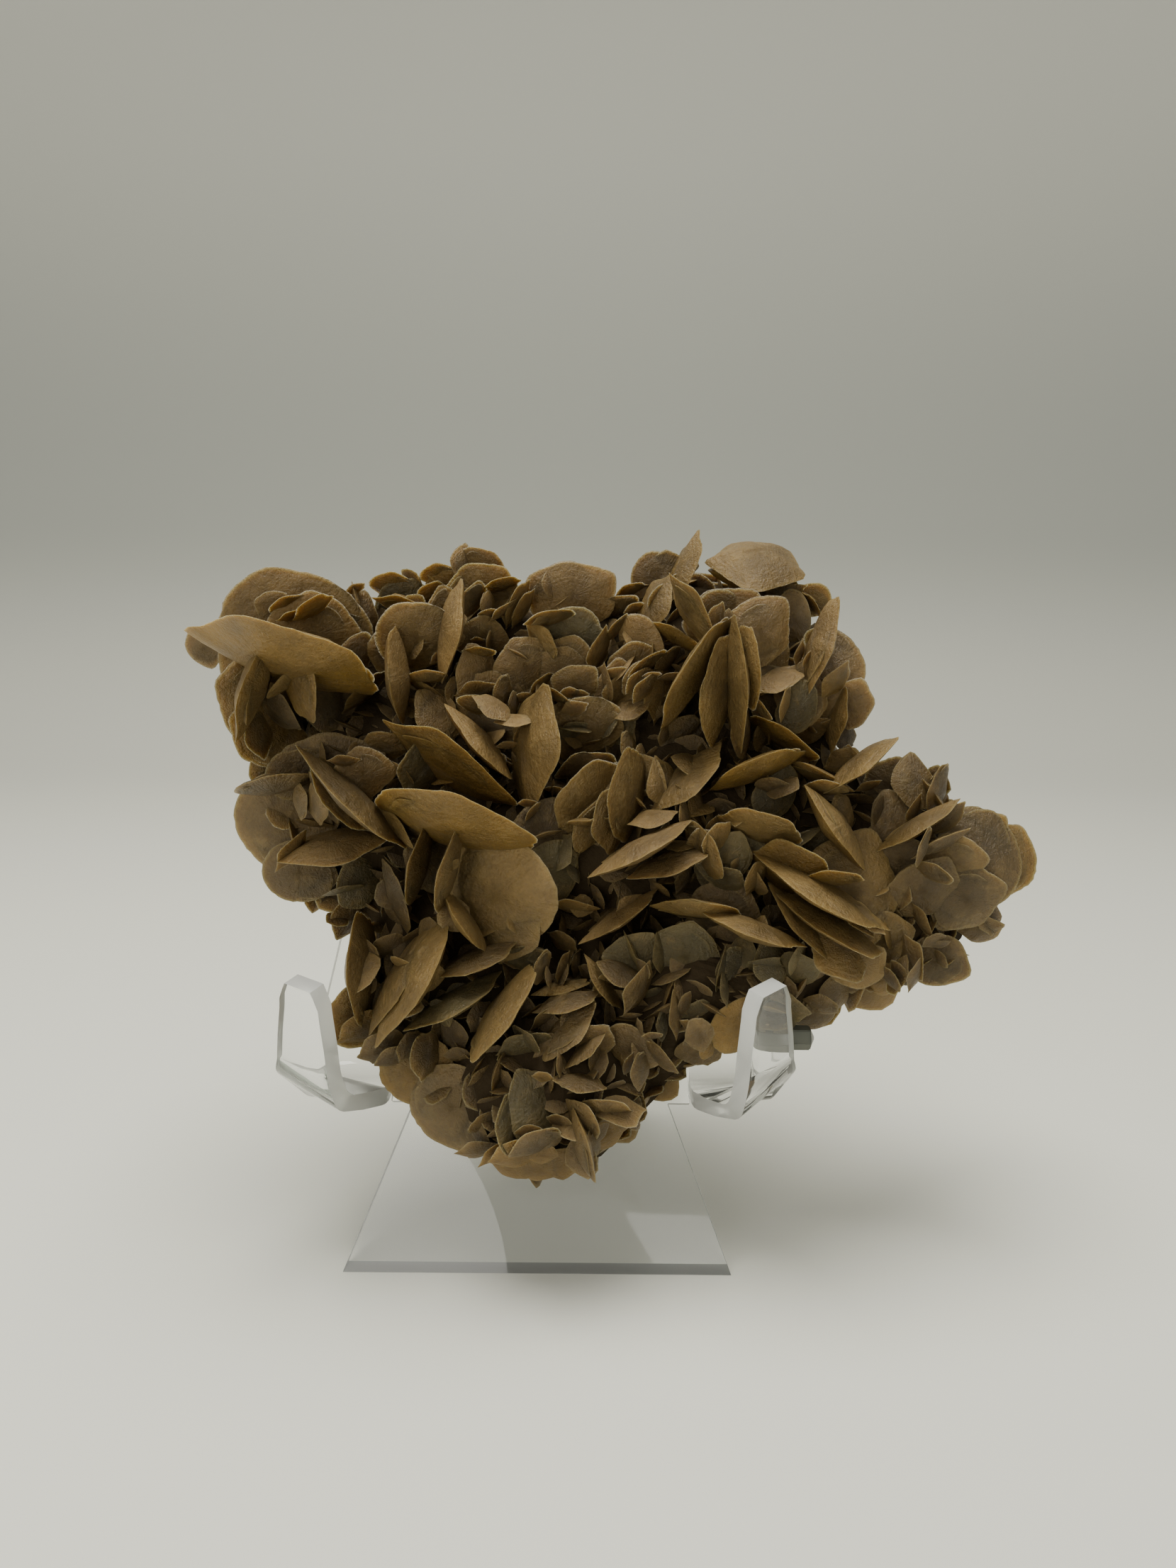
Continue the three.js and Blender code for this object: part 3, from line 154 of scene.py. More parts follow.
# The big round plate on the crest and the faces under it.
TOP_MIDDLE = [
    (-8.1, 49.4, 6, 8.3, 0, 15, 0.17, "f"), (-11.7, 45, 13, 4.8, 12, 72, 0.15, "t"),
    (-12.8, 44.6, 14, 2.4, 25, 65, 0.17, "t"), (-15.9, 35.8, 8, 6.2, 40, 25, 0.2, "f"),
    (-13, 40.5, 9.7, 4.2, -55, 60, 0.17, "t"), (-8, 37.5, 8.2, 4.8, 0, 20, 0.16, "t"),
    (-7, 31.5, 6, 5, 0, 28, 0.17, "f"), (-13, 32.3, 8.7, 3, 42, 70, 0.15, "t"),
    (-22, 29.5, 6, 6.2, 20, 25, 0.17, "f"), (-2.7, 38.5, 8.1, 4.8, 70, 68, 0.15, "t"),
    (0.5, 43, 7.4, 3.5, 50, 72, 0.15, "t"), (3.8, 47, 4.5, 2.2, 20, 60, 0.18, "t"),
    (0.5, 47, 2.6, 4.5, 20, 55, 0.17, "t"), (3, 50.5, 1, 3, 20, 65, 0.17, "t"),
    (-9.5, 35.1, 7, 5.3, 0, 28, 0.15, "f"), (-5.3, 24.1, 8.2, 7.2, 20, 28, 0.15, "t"),
    (0.4, 31.7, 7.1, 5, 60, 34, 0.15, "f"), (5.3, 40.4, 7.4, 5.5, -60, 34, 0.15, "f"),
    (-7.4, 41.6, 8.2, 5.9, 0, 20, 0.15, "g"), (-6.9, 32.5, 10, 4.3, 10, 24, 0.15, "t"),
    (2.9, 28.1, 7, 3.9, 20, -45, 0.16, "f"), (4.4, 33.4, 9.5, 3.8, 50, 40, 0.15, "t"),
]

# The crest right of the middle.
TOP_RIGHT = [
    (8.1, 52.7, 0.1, 5.6, 65, 22, 0.18, "f"), (12.8, 54.7, 4.1, 7.1, 63, -72, 0.17, "t"),
    (14.5, 46.4, 18.9, 7.7, -60, 71, 0.17, "t"), (7.5, 47.6, 7.1, 6.1, 65, -64, 0.17, "t"),
    (11.6, 41.4, 9.5, 5.9, -31, 75, 0.17, "a"), (21.7, 43.2, 8.9, 8.9, -20, 24, 0.15, "f"),
    (19.2, 47.3, 11.9, 4.2, 0, 20, 0.16, "t"), (26.4, 42.6, 13.9, 7.1, 70, 20, 0.18, "f"),
    (18.7, 44.2, 17.9, 4, 76, 60, 0.18, "t"), (21, 45.5, 16.9, 1.6, 90, 50, 0.17, "t"),
    (26.2, 55.7, 5.8, 9.1, -10, -62, 0.36, "t"), (24.5, 53.7, 3.8, 7.5, -12, -82, 0.34, "a"),
    (31.5, 50.6, 2.5, 4, 8, 68, 0.15, "a"), (30.8, 50, 1.5, 4, 12, 66, 0.15, "a"),
    (32.5, 45.5, 4.2, 5, 85, 28, 0.17, "t"), (36.3, 48.9, -1, 4, 0, 22, 0.16, "a"),
    (36.5, 48, 0, 2.8, -60, 74, 0.17, "t"), (37.6, 40.3, 12.4, 8.9, 69, -71, 0.2, "f"),
    (39, 36.1, 4.9, 7.1, 110, 22, 0.16, "f"), (41.5, 28.5, 3.3, 5.3, 30, 25, 0.17, "f"),
    (40, 33.3, 8.9, 4, 50, 60, 0.17, "t"), (39.9, 26, 3.6, 6, 76, -74, 0.2, "t"),
    (33.7, 38.5, 10.4, 2.5, 70, 65, 0.17, "t"), (35, 37.5, 12.4, 1.8, 60, 74, 0.17, "f"),
    (33.6, 30.4, 8.7, 5.6, 110, 30, 0.15, "f"), (28.2, 50.9, 2, 6.1, -5, 52, 0.16, "t"),
]

# The upright blades right of the middle.
STAR = [
    (3.8, 36.2, 6.8, 5.3, 20, 30, 0.16, "t"), (1, 31, 7, 4.3, 60, 50, 0.17, "t"),
    (0.5, 33.5, 8.5, 3.4, 10, 50, 0.17, "t"), (4.5, 33, 11.5, 3.2, 40, 60, 0.17, "t"),
    (6, 36, 11.5, 4.5, 35, 70, 0.17, "t"), (3.1, 27.7, 9, 4, 22, -61, 0.18, "f"),
    (5.6, 31.6, 13, 3.3, 47, 62, 0.17, "t"), (8.2, 30.7, 7, 5.4, 80, 62, 0.17, "t"),
    (8.5, 27.2, 6, 1.5, 60, 50, 0.17, "t"), (7, 34.2, 14, 1.8, 5, 70, 0.15, "f"),
    (10.7, 33.9, 10.5, 2.8, 6, 72, 0.15, "f"), (11.7, 35.5, 8, 1.6, -30, 70, 0.17, "t"),
    (9.5, 36.5, 9.1, 4, 50, 70, 0.17, "d"), (14.9, 34.7, 14, 12.1, 57, 79, 0.16, "t"),
    (12.3, 24, 6, 3.6, 30, 50, 0.17, "d"), (9, 22.8, 7.5, 2, 70, 60, 0.17, "t"),
    (18.7, 31.3, 16.1, 10.1, 79, 70, 0.17, "t"), (22, 32.5, 15.1, 12.2, 92, -80, 0.15, "t"),
    (24.4, 35.5, 19.9, 8.1, 93, -72, 0.17, "t"), (22.9, 23.5, 8, 5.1, 87, 64, 0.17, "f"),
    (26.7, 23.3, 5, 3.6, 68, 60, 0.17, "t"), (28.3, 38.2, 10.3, 4.6, 100, 30, 0.17, "t"),
    (28.9, 33.4, 10.4, 5.4, 11, -63, 0.3, "f"), (26, 28.5, 14.9, 3.6, -48, 74, 0.17, "t"),
    (30.2, 22.6, 7.3, 7.4, -35, 76, 0.17, "a"), (30.8, 29, 13.4, 3.4, 74, 76, 0.14, "t"),
    (33, 28.3, 10.1, 4.9, 65, 25, 0.16, "g"), (34.7, 24, 1.5, 3.9, 20, 45, 0.16, "f"),
    (28, 31, 8.9, 5, 80, 30, 0.16, "d"),
]

# The two long honey-coloured blades and what stands round them.
MIDDLE_LEFT = [
    (-28.9, 17.2, 11, 12.8, -32, 72, 0.17, "a"), (-33.3, 16.8, 10, 6.2, 57, 50, 0.17, "g"),
    (-37.3, 15.6, 11, 3, -42, 70, 0.17, "t"), (-27.9, 6.7, 15.5, 15, -16, 72, 0.19, "a"),
    (-23.8, 21.5, 11.3, 8.8, -46, -81, 0.2, "f"), (-31.3, 26, 7.8, 5.6, -62, -35, 0.18, "f"),
    (-35, 27.6, 7.5, 2.8, -35, 58, 0.18, "t"), (-28.8, 31, 7.6, 2.6, 80, 50, 0.17, "t"),
    (-24.2, 30.8, 8.9, 4.2, 12, 60, 0.17, "t"), (-21.5, 27.8, 15.5, 4.1, -28, -62, 0.2, "f"),
    (-24.3, 28.2, 11.7, 4.2, -12, 60, 0.17, "t"), (-19.8, 30.8, 9.9, 3.2, 82, 55, 0.17, "t"),
    (-17.8, 28.7, 8.9, 2.2, 90, 60, 0.17, "t"), (-16, 29.6, 7.6, 2.4, 10, 60, 0.17, "t"),
    (-15.2, 28.6, 6, 2, 60, 60, 0.17, "d"), (-17.5, 25.4, 14.7, 3.7, 3, -70, 0.18, "f"),
    (-14.1, 20.3, 12.2, 11.2, 86, -68, 0.2, "t"), (-13, 30, 9, 2.4, 100, 65, 0.17, "f"),
    (-12.2, 26.8, 12, 2.6, 20, 45, 0.17, "f"), (-7, 27.7, 12.5, 2.7, 15, 45, 0.17, "f"),
    (-10.3, 30.2, 13.5, 3, -32, 74, 0.17, "t"), (-7.8, 30.7, 11, 1.9, 0, 50, 0.17, "t"),
    (-5.9, 30.3, 10.5, 1.7, 0, 50, 0.17, "t"), (-3, 23.7, 5.8, 6.8, 0, 20, 0.17, "g"),
    (-7.2, 23.3, 8.8, 3.2, 20, 48, 0.17, "g"), (-4.7, 16.8, 7.7, 5.6, 10, 55, 0.17, "d"),
    (-3.3, 10.5, 8, 9, 48, 50, 0.17, "t"), (-9.3, 12.3, 8, 3, -15, 74, 0.17, "t"),
    (-4, 6, 10, 5.2, 62, 52, 0.17, "t"), (0, 7.6, 12, 6.3, 80, 56, 0.17, "t"),
    (-11, -2, 7.7, 5.9, 60, 25, 0.16, "g"), (-12.3, 4.5, 9.2, 6.5, 90, 25, 0.15, "d"),
    (-15, 10.3, 13.2, 1.8, 5, 60, 0.2, "t"), (-14, 8.8, 12.7, 2.2, 50, 70, 0.17, "t"),
    (-19.5, 13.2, 5, 2, 80, 60, 0.17, "d"), (-18.7, 20.8, 10.7, 2, 5, 65, 0.17, "t"),
    (-17.2, 22.5, 11.2, 1.6, 70, 70, 0.17, "t"), (-17.4, 18.5, 9.5, 1.3, -60, 70, 0.17, "f"),
    (-22, 24, 6.5, 5, -40, 30, 0.16, "d"),
]

# The rounded lobe at the left edge.
LEFT_LOBE = [
    (-49.7, 15.9, 8.3, 8.9, 0, 20, 0.16, "u"), (-41, 20.2, 8.8, 4.3, 0, 45, 0.17, "t"),
    (-55.5, 15.3, 10.3, 5.6, 20, 30, 0.17, "u"), (-59.8, 13.2, 13.4, 7.1, 14, 76, 0.2, "u"),
    (-57, 6.3, 2.9, 9.3, -60, 20, 0.16, "u"), (-54.8, 10.4, 12.8, 3.5, -80, 68, 0.16, "t"),
    (-51.8, 9.8, 15.3, 3.8, -72, 60, 0.16, "t"), (-50.6, 11, 14.3, 5.2, -57, 70, 0.16, "u"),
    (-45.8, 10.8, 15.3, 12.3, -41, -81, 0.16, "u"), (-47.8, 11.5, 13.3, 8.5, -48, -66, 0.16, "u"),
    (-44, 15.3, 13.3, 5.6, 30, 25, 0.17, "f"), (-47.5, 17.7, 17.8, 2.9, 5, 68, 0.18, "f"),
    (-46, 19.3, 11.3, 2, 80, 55, 0.17, "f"), (-48.7, 2.1, 9.6, 9.3, 16, -71, 0.19, "f"),
    (-55.7, 1.4, 10.4, 4.3, 56, 68, 0.17, "t"), (-38, 5.6, 12, 4.6, -48, 70, 0.16, "t"),
    (-54, -2.3, 0.4, 6.2, -15, 25, 0.16, "u"), (-44, -4.3, 1, 4.6, 80, 25, 0.18, "g"),
    (-45.3, -10, -1.5, 4.2, 60, 50, 0.17, "t"), (-35.5, 6.2, 12, 5, -25, 65, 0.16, "u"),
    (-37.1, -6.4, 7, 6.7, -69, 77, 0.16, "d"), (-33.6, -1.1, 11.8, 7.4, 78, 76, 0.18, "u"),
    (-28.5, -2.3, 16.3, 7.4, 77, 77, 0.18, "u"), (-27.3, -0.8, 18.3, 1.2, 60, 50, 0.17, "t"),
    (-31, 0, 5.8, 6, 90, 25, 0.15, "d"),
]

# The pale shelves in the middle and the blades round them.
MIDDLE = [
    (-19.4, -6.1, 9.8, 10.8, -60, 24, 0.16, "t"), (-8.5, -13.8, 1.5, 3, -30, 60, 0.17, "t"),
    (-25.4, -10.5, 12.5, 6.5, -54, -81, 0.22, "t"), (-6.6, -7.9, 4, 4.3, -6, 74, 0.17, "t"),
    (-2.6, -6, 4, 2.6, -60, 70, 0.16, "d"), (-8.4, -12, 0.5, 2.7, 95, 70, 0.14, "t"),
    (1.1, -9.7, 6.1, 7.7, 34, -80, 0.17, "f"), (4.8, 2.2, 15, 9.6, 28, -81, 0.18, "f"),
    (9.4, -0.5, 12.5, 7.3, 17, -76, 0.18, "f"), (11.8, 0.8, 13, 4.4, 5, -62, 0.17, "f"),
    (11.3, 2.9, 11, 3, 0, -70, 0.17, "t"), (7, 7.7, 13.5, 4.3, 12, -66, 0.18, "f"),
    (2.5, 11.6, 12, 8.6, 82, 66, 0.17, "t"), (2.8, 20.6, 9.2, 3.1, 100, 60, 0.18, "t"),
    (4.8, 19.2, 9, 2.1, 88, 55, 0.17, "t"), (6, 14.6, 7, 5.4, -75, 50, 0.17, "t"),
    (8.7, 13.9, 9, 4.8, 98, 50, 0.17, "t"), (13, 14.9, 10, 8.2, 42, -66, 0.18, "t"),
    (14.8, 9.6, 8, 4.1, 98, 65, 0.17, "t"), (17, 8, 8, 2, 90, 65, 0.17, "t"),
    (17.6, 6.6, 10.1, 2.6, 48, 65, 0.17, "t"), (12.7, 8, 12, 2.9, 97, 66, 0.17, "t"),
    (15.7, 2.3, 11.8, 6, -63, 64, 0.17, "t"), (18, 4, 13.8, 3.9, 55, 58, 0.17, "t"),
    (14.3, 6.9, 9, 2.4, -50, 74, 0.17, "t"), (15.6, 7.7, 8, 2, -60, 74, 0.17, "t"),
    (20.5, 0, 6.8, 6.4, 30, 22, 0.16, "g"), (19.7, -3, 9.8, 3.4, -10, 45, 0.17, "g"),
    (24.6, -2.6, 9.8, 3.6, 62, 65, 0.17, "t"), (21.2, -0.3, 10.8, 1.3, 60, 50, 0.17, "t"),
    (19, -8, 5.7, 6.2, 0, 25, 0.17, "d"), (8.5, -4.8, 5.5, 2, -40, 70, 0.17, "t"),
    (11.3, 9.8, 12, 1.3, 90, 70, 0.17, "t"), (12.5, -3, 5.4, 3, 60, 60, 0.16, "d"),
    (19.3, 0.6, 10.5, 5, 30, 20, 0.15, "g"),
]

# The fan of long blades and the broad plate behind it.
MIDDLE_RIGHT = [
    (25.4, 16.7, 10.6, 8.9, 21, 78, 0.2, "a"), (36, 15.8, 6.5, 6.5, -28, 80, 0.18, "t"),
    (28.3, 13.7, 10.8, 3.6, -10, 60, 0.17, "d"), (28.6, 12.7, 7.8, 5.2, 60, 30, 0.16, "g"),
    (25.6, 6.3, 12.3, 7.8, -16, 70, 0.2, "t"), (18.7, 9.8, 6.7, 3, 0, 50, 0.16, "d"),
    (39, 6.3, 10, 8.9, -58, -83, 0.24, "t"), (40, 8.3, 6, 4.1, 90, 50, 0.16, "t"),
    (33.7, 2.7, 4.8, 4.6, 25, 35, 0.16, "g"), (38.3, -2.5, 14, 5, -4, 76, 0.2, "a"),
    (41, 18.3, 0.5, 3.8, 10, 45, 0.17, "t"), (43.7, 17.8, 11, 8, 35, -79, 0.18, "t"),
    (45, 13.9, 1.2, 2.5, 18, 65, 0.17, "t"), (37.5, 13.5, 10, 4, -10, 70, 0.17, "t"),
    (40.6, -5, 5.5, 10.6, 90, 20, 0.16, "t"), (31, -1, 10, 7.6, -25, 55, 0.17, "a"),
    (35.9, -5.1, 12, 12.2, -32, -80, 0.16, "t"), (32, -9.7, 8.6, 8, -53, -77, 0.17, "t"),
    (36.8, -10.3, 10, 10.4, -34, -79, 0.16, "t"), (38.5, -15, 8, 6.2, -48, -45, 0.17, "t"),
    (43, -9, 13, 4.6, -45, -70, 0.16, "f"), (41.5, -9.5, 13, 4.5, -42, -72, 0.16, "t"),
    (27, -10.3, 1, 3.7, 60, 50, 0.16, "d"), (41.3, -17.3, 6, 5, 0, 25, 0.18, "t"),
    (46, -13, 3, 5.5, 40, 25, 0.16, "t"),
]

# The lobe at the right edge.
RIGHT_LOBE = [
    (41.3, 23, 0, 3.2, 90, 50, 0.17, "u"), (49.5, 14.4, 0.7, 5.6, 0, 25, 0.16, "d"),
    (53, 14.6, 3.7, 5.1, 108, 35, 0.17, "u"), (56.7, 14.1, 0.3, 3.7, 57, 70, 0.17, "u"),
    (57.1, 13.1, 4.8, 5.1, 68, 72, 0.2, "u"), (52.7, 9.6, 5.3, 3.2, 62, 74, 0.17, "u"),
    (62.9, 5.6, 3.4, 5.6, 0, 20, 0.17, "a"), (53.2, 6.7, 8.3, 8.1, 29, -81, 0.17, "t"),
    (58.3, 8, 8.7, 4.2, 36, 60, 0.17, "u"), (57.1, 3.6, 10.9, 5.3, 25, 79, 0.18, "u"),
    (54, 3, 14.8, 3.9, 68, 76, 0.14, "u"), (58.7, 0.6, 6.9, 5.8, 20, 28, 0.17, "t"),
    (55.5, -1.4, 11.9, 3.7, -30, 62, 0.17, "u"), (53.3, -4.3, 5.3, 6.5, 25, 30, 0.16, "u"),
    (63, 1.2, 4.6, 8.6, 90, 20, 0.16, "u"), (67.4, 0.8, 1.6, 6.3, 90, 18, 0.17, "a"),
    (60.6, -5.8, 3.9, 6.8, 35, 28, 0.17, "u"), (64.5, -9, 0, 3.4, 90, 50, 0.17, "u"),
    (62.8, -11, -1, 3.9, 0, 45, 0.17, "u"), (48.5, 8, 3.3, 5, 90, 30, 0.15, "d"),
    (46.5, 9.5, 5.3, 2.8, 70, 70, 0.17, "d"), (50, 1, 5.3, 5, 0, 30, 0.16, "d"),
    (53, -9.7, 5, 3.3, -65, 70, 0.17, "u"), (51, -16, 4, 4.1, -75, 60, 0.17, "u"),
    (51.3, -19, 6, 3, 65, 68, 0.16, "u"), (47, -19.6, 6.2, 2.8, -55, 65, 0.16, "u"),
    (48.6, -18.6, 5.3, 2.6, -62, 60, 0.16, "u"), (54.8, -13.2, 4.5, 2.3, 25, 60, 0.2, "u"),
    (56, -13.8, 4, 1.6, 12, 60, 0.2, "u"), (55.8, -16.2, 0.5, 1.9, -60, 60, 0.2, "u"),
    (55.2, -16.5, -1.5, 5.5, 0, 20, 0.17, "u"), (45.6, -19.7, -0.5, 4.2, 0, 45, 0.17, "a"),
]

# The upright blades and broad plates at the lower left.
LOWER_LEFT = [
    (-42.2, -19.2, 5, 10.1, 94, 74, 0.2, "u"), (-42.7, -26.3, 3, 5.9, 60, 30, 0.16, "a"),
    (-33.7, -19.9, 9, 12.2, 64, -75, 0.2, "t"), (-36, -20.7, 7, 9.5, 63, -80, 0.2, "u"),
    (-38, -15, 4.5, 3.7, 20, 55, 0.16, "d"), (-42, -28.6, 4, 4.4, 30, 55, 0.17, "a"),
    (-38, -31.8, 5, 4.6, 18, 50, 0.18, "u"), (-36.5, -33.2, 6, 3.2, 22, 60, 0.17, "u"),
    (-34, -31.5, 6, 3, 60, 55, 0.17, "u"), (-31, -33, 6.5, 4.3, 80, 50, 0.17, "u"),
    (-25.8, -32.8, 5.5, 2.2, 0, 50, 0.17, "u"), (-32.5, -35, 2.5, 6.6, -30, 25, 0.16, "a"),
    (-26.2, -40.9, 2.5, 7.6, -40, 30, 0.16, "u"), (-20.9, -43.6, 6.3, 3.3, 30, 62, 0.16, "u"),
    (-21.9, -47.9, 5, 3.5, 10, 66, 0.17, "u"), (-21.5, -45.7, 5, 2.8, -50, 60, 0.17, "u"),
    (-23.3, -17.2, 11, 7.2, 22, -73, 0.17, "u"), (-26.7, -24.2, 9, 8.9, 31, -76, 0.18, "g"),
    (-18.6, -26.1, 12, 9.7, 57, -76, 0.19, "t"), (-22.3, -26.5, 6, 3, 60, 50, 0.17, "d"),
    (-26.5, -29.5, 5, 3.3, -50, 50, 0.17, "d"), (-21.5, -36, 6.9, 3, 40, 70, 0.17, "u"),
    (-31.8, -24.3, 6, 2, -30, 70, 0.17, "u"), (-39, -17.8, -2, 4, 60, 35, 0.16, "d"),
]

# The small blades and dull plates below the middle.
LOWER_MIDDLE = [
    (-15, -17, 6, 4.2, 5, 55, 0.16, "g"), (-12, -18.3, 11, 3.3, 70, 62, 0.17, "u"),
    (-10.8, -20, 10.5, 2.2, 100, 74, 0.17, "u"), (-8.3, -18.3, 5, 3.1, 72, 70, 0.17, "u"),
    (-6, -17.5, 0, 2.5, 80, 65, 0.17, "u"), (-8.7, -21.7, 3.8, 5, 12, -77, 0.18, "t"),
    (-7.6, -24.1, 9.8, 5.6, 16, -71, 0.18, "u"), (-7.6, -28, 9.6, 6.4, 48, -50, 0.17, "u"),
    (-11, -26.5, 9, 3.5, 40, 70, 0.17, "u"), (-1.5, -20.8, 7.6, 5.4, -56, -74, 0.2, "t"),
    (3.4, -16.5, 7.9, 5, 20, 20, 0.16, "g"), (1.5, -19.2, 10.1, 4.4, -30, -58, 0.18, "u"),
    (4.3, -21.7, 11.1, 4.8, 62, 66, 0.18, "u"), (5.3, -18.3, 11.5, 2, -60, 60, 0.2, "u"),
    (-14.1, -32.1, 8, 5.7, 9, 60, 0.2, "g"), (-8.7, -34.3, 13, 2.4, 94, 74, 0.17, "u"),
    (-4.5, -31.8, 10.6, 4.5, 42, -72, 0.17, "u"), (-2, -33, 7.6, 4.2, 78, 65, 0.17, "u"),
    (3.5, -31.3, 8.5, 5, -30, 40, 0.17, "u"), (4.7, -35.2, 10, 3.3, 80, 60, 0.17, "u"),
    (3, -34, 9, 2.2, 60, 60, 0.17, "u"), (-0.6, -25.3, 5, 2.2, -62, 60, 0.18, "u"),
    (3.2, -26.2, 9, 1.9, 5, 70, 0.18, "u"), (4.6, -28, 11, 1.5, -75, 60, 0.18, "u"),
    (-16.5, -35.4, 8, 3.1, -15, 62, 0.17, "u"), (-17.5, -37.2, 9.5, 2.9, -58, 66, 0.17, "u"),
    (14.3, -8.1, 10.1, 7.7, -6, 78, 0.17, "t"), (24.1, -11.6, 12.7, 8.7, -20, -81, 0.19, "t"),
    (12.2, -16, 7.7, 6.3, 0, 15, 0.16, "g"), (20.8, -18.2, 7.8, 4.5, 60, 45, 0.16, "g"),
    (27, -17.5, 8, 4.5, 90, 45, 0.17, "g"), (31.2, -18.3, 6, 4.5, 0, 45, 0.17, "g"),
    (20.5, -28, 6.7, 5, 40, 28, 0.17, "a"), (14.3, -25.8, 7, 3.4, 30, 50, 0.17, "g"),
    (10.6, -26, 11.5, 4, 92, 74, 0.16, "u"), (12.2, -24.2, 10.5, 2.4, 68, 62, 0.17, "u"),
    (13.1, -27.9, 11.5, 2.2, -30, 62, 0.18, "u"), (13.2, -29.8, 10.5, 1.9, 42, 65, 0.17, "u"),
    (19, -21.6, 10.1, 3.1, 95, 74, 0.17, "g"), (16, -22.3, 6, 2.4, 10, 60, 0.17, "g"),
    (7, -22.5, 7.5, 2, 20, 60, 0.17, "g"), (8.5, -27.7, 8, 3, 85, 65, 0.17, "g"),
    (6.7, -29.5, 13, 1.9, 5, 68, 0.2, "u"), (7.7, -32.7, 9.5, 4.1, -42, 70, 0.17, "u"),
    (14.3, -32, 4.3, 4.2, 0, 48, 0.17, "u"), (16.5, -30.6, 6, 3.2, 60, 50, 0.17, "a"),
]

# The small plates over the quartz at the lower right.
LOWER_RIGHT = [
    (35.2, -24.1, 3, 3.1, -20, 58, 0.18, "u"), (34, -25.7, -0.7, 4, 20, 48, 0.17, "u"),
    (37.5, -22.2, 0.5, 3.8, 60, 48, 0.17, "u"), (29, -24.5, 5, 4.3, -20, 50, 0.17, "g"),
    (28, -27.6, 3, 3, 20, 50, 0.17, "g"),
]

# The tip.
BOTTOM = [
    (-16.8, -44, 12.1, 5.1, 88, 58, 0.17, "g"), (-13.3, -41, 11.1, 5.8, 90, 28, 0.18, "g"),
    (-5.5, -37.1, 12.3, 4.7, -8, -68, 0.18, "u"), (-11.5, -36.3, 13.1, 1.9, -5, 60, 0.2, "t"),
    (-1.5, -41.6, 10.8, 5.5, -2, 70, 0.18, "u"), (-4.9, -46.9, 11.8, 6.1, 108, -78, 0.2, "u"),
    (-4.7, -42.8, 12.5, 4, -52, 62, 0.18, "u"), (-2, -45.3, 11.5, 2.3, 50, 60, 0.18, "u"),
    (-3.5, -44.7, 11.5, 1.7, -15, 60, 0.18, "u"), (-1.2, -45, 4.8, 4.2, 30, 48, 0.17, "a"),
    (1.2, -43.2, 5, 3.5, 30, 50, 0.17, "a"), (-12.5, -46.8, 13.2, 4.7, 22, 66, 0.18, "u"),
    (-15.3, -48.5, 10.5, 5, 13, 62, 0.18, "a"), (-19, -48.3, 7.5, 3.4, 40, 70, 0.17, "a"),
    (-16.3, -50, 6.5, 4.1, -20, 48, 0.17, "a"), (-12, -50.6, 6.5, 3.9, 0, 48, 0.17, "a"),
    (-8.3, -50, 6.5, 3.9, 10, 48, 0.17, "a"), (-11.5, -48.5, 10.5, 2.8, 0, 48, 0.17, "a"),
    (-9.3, -46.5, 11.5, 1.9, 40, 62, 0.2, "u"), (-13.5, -45, 13.1, 2.5, 0, 60, 0.17, "u"),
    (-8.5, -43.5, 12.1, 2.5, -20, 60, 0.17, "u"),
]

UPPER_REGIONS = [UPPER_LEFT, TOP_LEFT, TOP_MIDDLE, TOP_RIGHT, STAR]
MIDDLE_REGIONS = [MIDDLE_LEFT, LEFT_LOBE, MIDDLE, MIDDLE_RIGHT, RIGHT_LOBE]
LOWER_REGIONS = [LOWER_LEFT, LOWER_MIDDLE, LOWER_RIGHT, BOTTOM]

# The tones by their letters in the rows. The darker tones d and u are partly painted shade: d for
# the shade deep in the gaps, u for the shade low on the face and out at its sides.
TONES = {"t": "tan", "a": "amber", "g": "olive", "f": "frosted", "d": "gap_shade_brown", "u": "umber"}
TINT_RANGE = (0.78, 1.14)    # how dark or pale a crystal of a tone may be, as a share of it

# A crystal is big or middling from these radii, in millimetres.
BIG_CRYSTAL = 5.6
MIDDLING_CRYSTAL = 2.9

# The lens shapes. For each grade of crystal: how many spokes and rings a face has and how
# many smaller lenses lie on it, how pointed it may be, and its share of the waviness. The
# first few shapes of a grade are round and the others pointed: a crystal that shows its edge
# is a pointed one.
LENS_GRADES = {"big": (56, 7, 3), "middling": (32, 5, 1), "small": (16, 3, 0)}
POINTEDNESS = {"big": (0.15, 0.5), "middling": (0.3, 0.8), "small": (0.4, 0.9)}
WAVE_SHARE = {"big": 1.0, "middling": 0.6, "small": 0.3}
BED_WAVE_SHARE = 0.4
LENSES_PER_GRADE = 8
ROUND_LENSES = 4
EDGE_ON = 42                 # tipped more than this, in degrees, a crystal shows its edge

# The beds of small crystals.
DENSEST = 4e5                # crystals to a square metre, before their spacing thins them
BED_FATNESS = (0.12, 0.22)   # half a crystal's thickness as a share of its radius
BUNCH_SCALE = 90.0           # neighbours within about a centimetre lie nearly parallel
BUNCH_TURNS = 4              # turns that the bunches' headings range over
BUNCH_STRAY = 0.35           # how far a crystal may turn from its bunch, in radians
EASEL_GAP = 0.6 * MM         # a bed's crystals keep this far off the acrylic
LEAST_ROOM = 0.5 * MM        # but none is held smaller than this

# The matrix.
HUB = (-5.0, 5.0)            # every point of the outline shows from here, u and v
PLATE_SHARE = 0.93           # the matrix stays this far inside the outline
PLATE_MIDDLE = -5.5          # w of the matrix's widest part
PLATE_FRONT = -1.5
PLATE_BACK = -9.5
INGROWN_DEPTH = 7.0          # small crystals grow between the large ones up to this far out

QUARTZ_PLACE = Vector((28.6, -29.6, 1))

SHEET_CLEARLY = 3.4 * MM     # a face with more acrylic than this behind it is a cut edge

